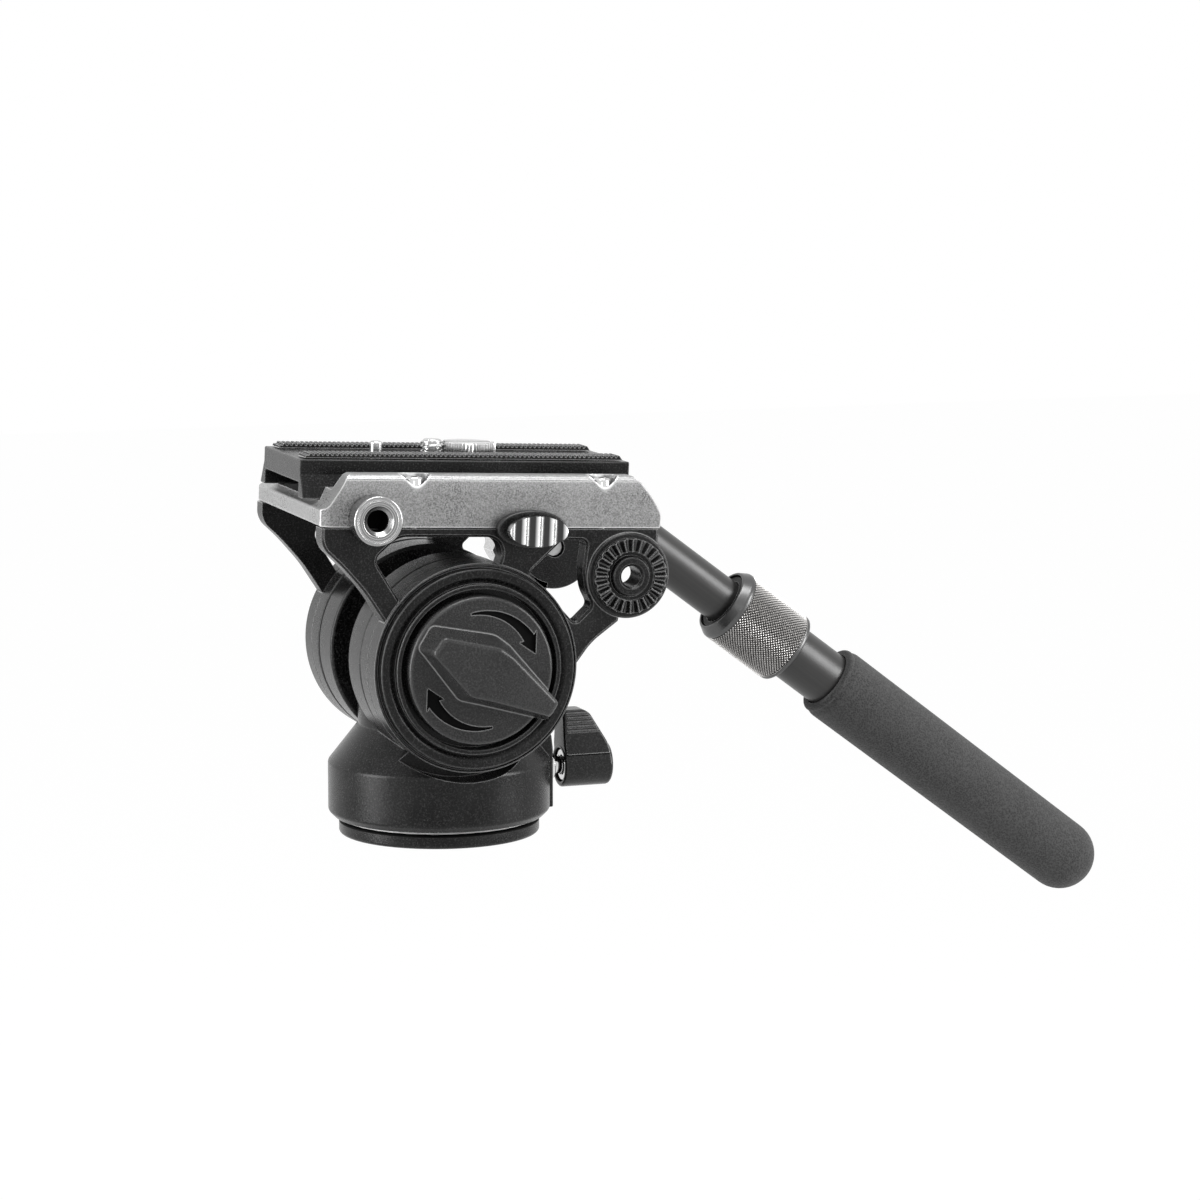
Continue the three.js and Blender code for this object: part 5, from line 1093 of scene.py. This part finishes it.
makePiece("camera_plate", cameraPlate(), "plate", "blackCast")
for name, side in sides.items():
    makePiece(name + "_rubber_strip", rubberStrip(side), "plate", "rubber", name=name + "StripShape")
makePiece("camera_screw", cameraScrewShape(), "camera_screw", "brightSilver")
makePiece("spare_screw", spareScrewShape(), "spare_screw", "brightSilver")
makePiece("video_pin", videoPinShape(), "video_pin", "brightSilver")
print("plate done")

# Plate lock lever on the far rail
lever = Values(x=lockSpot.x, z=lockSpot.z, hub=6, bore=lockSpot.bore, start=32.9, end=39.9, boreEnd=2.3,
               dishRadius=3.6, dish=0.6, arm=21, armStart=3, height=6.4, tip=3.2, thick=4.4, soft=0.7,
               ribs=4, ribPitch=2.6, ribLong=(4.3, 3.2), ribHalf=2.5, ribDepth=1.2, ribRise=0.25,
               ribSoft=0.3)


def plateLockLever():
    v = lever
    dish, boreEnd = v.end - v.dish, v.end - v.boreEnd
    body = turned("y", [(v.bore, v.start), (v.hub, v.start, 0.4), (v.hub, v.end, 0.8),
                        (v.dishRadius, v.end, 0.2), (v.dishRadius - 0.4, dish), (0, dish),
                        (0, boreEnd), (v.bore, boreEnd)], 72, (v.x, 0, v.z))
    start, end, half = v.x + v.armStart, v.x + v.arm, v.height / 2
    arm = prism("y", [(start, v.z - half), (end, v.z - v.tip, 3.0), (end, v.z + v.tip, 3.0),
                      (start, v.z + half)], v.end - v.thick, v.end - 0.3, 8)
    softened(arm, v.soft, 3, 50)
    rib = block((end - v.ribLong[0], end - v.ribLong[1]), (v.end - v.ribDepth, v.end + v.ribRise),
                (v.z - v.ribHalf, v.z + v.ribHalf))
    ribs = steppedCopies(softened(rib, v.ribSoft, 2, 60), v.ribs, (-v.ribPitch, 0, 0))
    return joined(body, arm, ribs)


makePiece("plate_lock_lever", plateLockLever(), "plate_lock", "brightSilver")

# Pan bar: clamp, knob, two tubes, locking collar and grip
clamp = Values(start=36.3, end=49.5, radius=10.2, webHalf=7.6, webSoft=0.9, bolt=2.8, sleeve=8.3,
               sleeveStart=-7, sleeveEnd=20, root=37.6, setScrew=8, setRadius=2.2)
clampKnob = Values(neck=5.4, start=49.8, neckEnd=52.2, radius=11, end=61.2, lobes=8, lobeRadius=2.6,
                   bore=2.75, boreRoom=3, soft=1.2, dishRadius=7.5, dish=0.5, lobeSoft=0.35)
innerTube = Values(radius=6.65, bore=5.55, start=-4.5, end=157.7)
outerTube = Values(radius=8.18, bore=7.05, start=75.7, end=193.5)
collar = Values(start=57.4, end=82.7, radius=11.05, mouth=8.9, mouthDepth=1.6, bore=8.25, knurlStart=61.0,
                knurlEnd=81.4, knurlLow=10.65, knurlRise=0.5, knurlBack=1.2, around=66, rows=20,
                tubeRoom=8.48, tubeStart=75.4)
seal = Values(radius=8.6, bore=6.95, start=58.0, end=58.7)
grip = Values(start=98.9, radius=10.95, bore=8.48, seatEnd=193.8, dome=10.5, domeAt=194.6, domeSteps=12,
              lip=10.6, lipLong=1.6, shoulder=2.8)
onBar = (0, barAxis.y, barAxis.offset)


def barClamp():
    c = clamp
    disc = turned("y", [(0, c.root), (c.radius, c.root, 0.4), (c.radius, c.end, 0.8), (0, c.end)], 96)
    web = prism("y", [(-c.webHalf, 0), (c.webHalf, 0), (c.webHalf, barAxis.offset),
                      (-c.webHalf, barAxis.offset)], c.root + 0.5, c.end - 0.6)
    softened(web, c.webSoft, 3, 60)
    sleeve = rod("x", c.sleeve, c.sleeveStart, c.sleeveEnd, 96, onBar, 0.8)
    tools = [rod("y", c.bolt, c.start - past, c.end + past, 32),
             rod("x", innerTube.radius + 0.3, innerTube.start - 0.3, c.sleeveEnd + past, 72, onBar),
             rod("z", c.setRadius, barAxis.offset, barAxis.offset + c.sleeve + past, 32,
                 (c.setScrew, barAxis.y, 0))]
    teeth = toothRing(c.root + 0.3, c.start, (0, 0, 0))
    return joined(carved(fused(disc, web, sleeve), tools), teeth)


def clampKnobShape():
    k = clampKnob
    dish = k.end - k.dish
    body = turned("y", [(0, k.start), (k.neck, k.start, 0.3), (k.neck, k.neckEnd),
                        (k.radius, k.neckEnd, k.soft), (k.radius, k.end, k.soft),
                        (k.dishRadius, k.end, 0.3), (k.dishRadius - 0.4, dish, 0.2), (0, dish)], 96)
    tools = [rod("y", k.bore, k.start - past, k.end - k.boreRoom, 32)]
    for i in range(k.lobes):
        x, z = onCircle(k.radius + k.lobeRadius / 2, math.tau * i / k.lobes)
        tools.append(rod("y", k.lobeRadius, k.neckEnd - past, k.end + past, 32, (x, 0, z)))
    return softened(carved(body, tools), k.lobeSoft, 2, 50)


def ringOnBar(r, farSoft=0.3):
    return turned("x", [(r.bore, r.start), (r.radius, r.start, 0.3), (r.radius, r.end, farSoft),
                        (r.bore, r.end)], 96, onBar, closed=True)


# Two crossing rows of small pyramids
def knurledBand():
    c = collar
    rows = [(c.knurlLow, c.knurlStart + (c.knurlEnd - c.knurlStart) * i / c.rows)
            for i in range(c.rows + 1)]
    back = c.knurlLow - c.knurlBack
    band = turned("x", [(back, c.knurlStart), *rows, (back, c.knurlEnd)], c.around, closed=True)

    def isOuter(face):
        return math.hypot(*face.calc_center_median()[1:]) > c.knurlLow - 0.3 and abs(face.normal.x) < 0.5

    outer = [face for face in band.faces if isOuter(face)]
    old = {edge for face in outer for edge in face.edges if len(edge.link_faces) == 2
           and all(isOuter(linkedFace) for linkedFace in edge.link_faces)}
    bmesh.ops.poke(band, faces=outer, offset=0.0, center_mode="MEAN")
    bmesh.ops.dissolve_edges(band, edges=list(old), use_verts=False)
    diamonds = [face for face in band.faces if isOuter(face) and len(face.verts) == 4]
    raised = bmesh.ops.poke(band, faces=diamonds, offset=0.0, center_mode="MEAN")["verts"]
    for vert in raised:
        out = Vector((0, vert.co.y, vert.co.z))
        vert.co += out.normalized() * (c.knurlLow + c.knurlRise - out.length)
    return moved(band, onBar)


def lockCollar():
    c = collar
    under, mouth = c.knurlLow - 0.4, c.start + c.mouthDepth
    body = turned("x", [(c.bore, mouth), (c.mouth, mouth), (c.mouth, c.start, 0.2),
                        (c.radius - 1.5, c.start, 0.35), (c.radius, c.start + 2.6, 0.4),
                        (c.radius, c.knurlStart - 0.1, 0.2), (under, c.knurlStart + 0.3),
                        (under, c.knurlEnd - 0.3), (c.radius - 0.05, c.knurlEnd + 0.1, 0.2),
                        (c.radius - 0.1, c.end, 0.6), (c.tubeRoom, c.end), (c.tubeRoom, c.tubeStart),
                        (c.bore, c.tubeStart)], 128, onBar, closed=True)
    return joined(body, knurledBand())


def foamGrip():
    g = grip
    profile = [(g.bore, g.start), (g.lip - 0.6, g.start, 0.5), (g.lip + 0.1, g.start + 0.8, 0.5),
               (g.lip - 0.25, g.start + g.lipLong, 0.3), (g.radius, g.start + g.shoulder, 0.8)]
    for i in range(g.domeSteps):
        out, along = onCircle(g.dome, math.pi / 2 * i / g.domeSteps)
        profile.append((out, g.domeAt + along))
    profile += [(0, g.domeAt + g.dome), (0, g.seatEnd), (g.bore, g.seatEnd)]
    shape = turned("x", profile, 128, onBar)
    bmesh.ops.bridge_loops(shape, edges=[edge for edge in shape.edges if edge.is_boundary])
    return tidied(shape)


makePiece("bar_clamp", barClamp(), "bar", "blackCast")
makePiece("clamp_knob", clampKnobShape(), "bar_lock", "brightSilver")
makePiece("inner_tube", ringOnBar(innerTube), "bar", "gunmetal")
makePiece("outer_tube", ringOnBar(outerTube), "extension", "gunmetal")
# The collar's knurl takes its painted highlights and shade from the radius about the bar
knurledMetalPaintedShading = paintedKnurlShading("knurledMetalPaintedShading", tuple(barPlace @ Vector(onBar)))
makePiece("lock_collar", lockCollar(), "collar", "titanium", 12, material=knurledMetalPaintedShading)
makePiece("collar_seal", ringOnBar(seal, 0), "extension", "rubber")
makePiece("foam_grip", foamGrip(), "extension", "foam")
print("pan bar done")

# CAD nodes that keep their shape get a finish
keptFinishes = {
    "steel": ["base_screw_1", "base_screw_2", "base_screw_3", "pan_axle", "pan_drag_disc", "pan_axle_nut",
              "near_bearing_carrier", "far_bearing_carrier", "counterbalance_spring", "tilt_axle",
              "near_drag_rotor", "far_drag_rotor", "tilt_brake_plate", "far_axle_nut", "plate_latch",
              "video_pin_spring", "plate_lock_screw", "clamp_bolt", "bar_set_screw"],
    "brass": ["tripod_thread_insert", "pan_brake_shoe", "far_hub_bush"],
    "slip": ["pan_thrust_washer", "collet"],
    "chrome": ["pan_bearing", "near_tilt_bearing", "far_tilt_bearing"],
    "silverCast": ["clamp_jaw"],
    "blackPlastic": ["tube_plug"],
}
makePiece("pan_lock_screw", panLockScrew(), "pan_lock", "chrome")
for finish, names in keptFinishes.items():
    for name in names:
        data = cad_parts[name].data
        data.materials.clear()
        data.materials.append(finishes[finish])
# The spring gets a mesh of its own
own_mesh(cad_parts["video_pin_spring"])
print("kept nodes done")
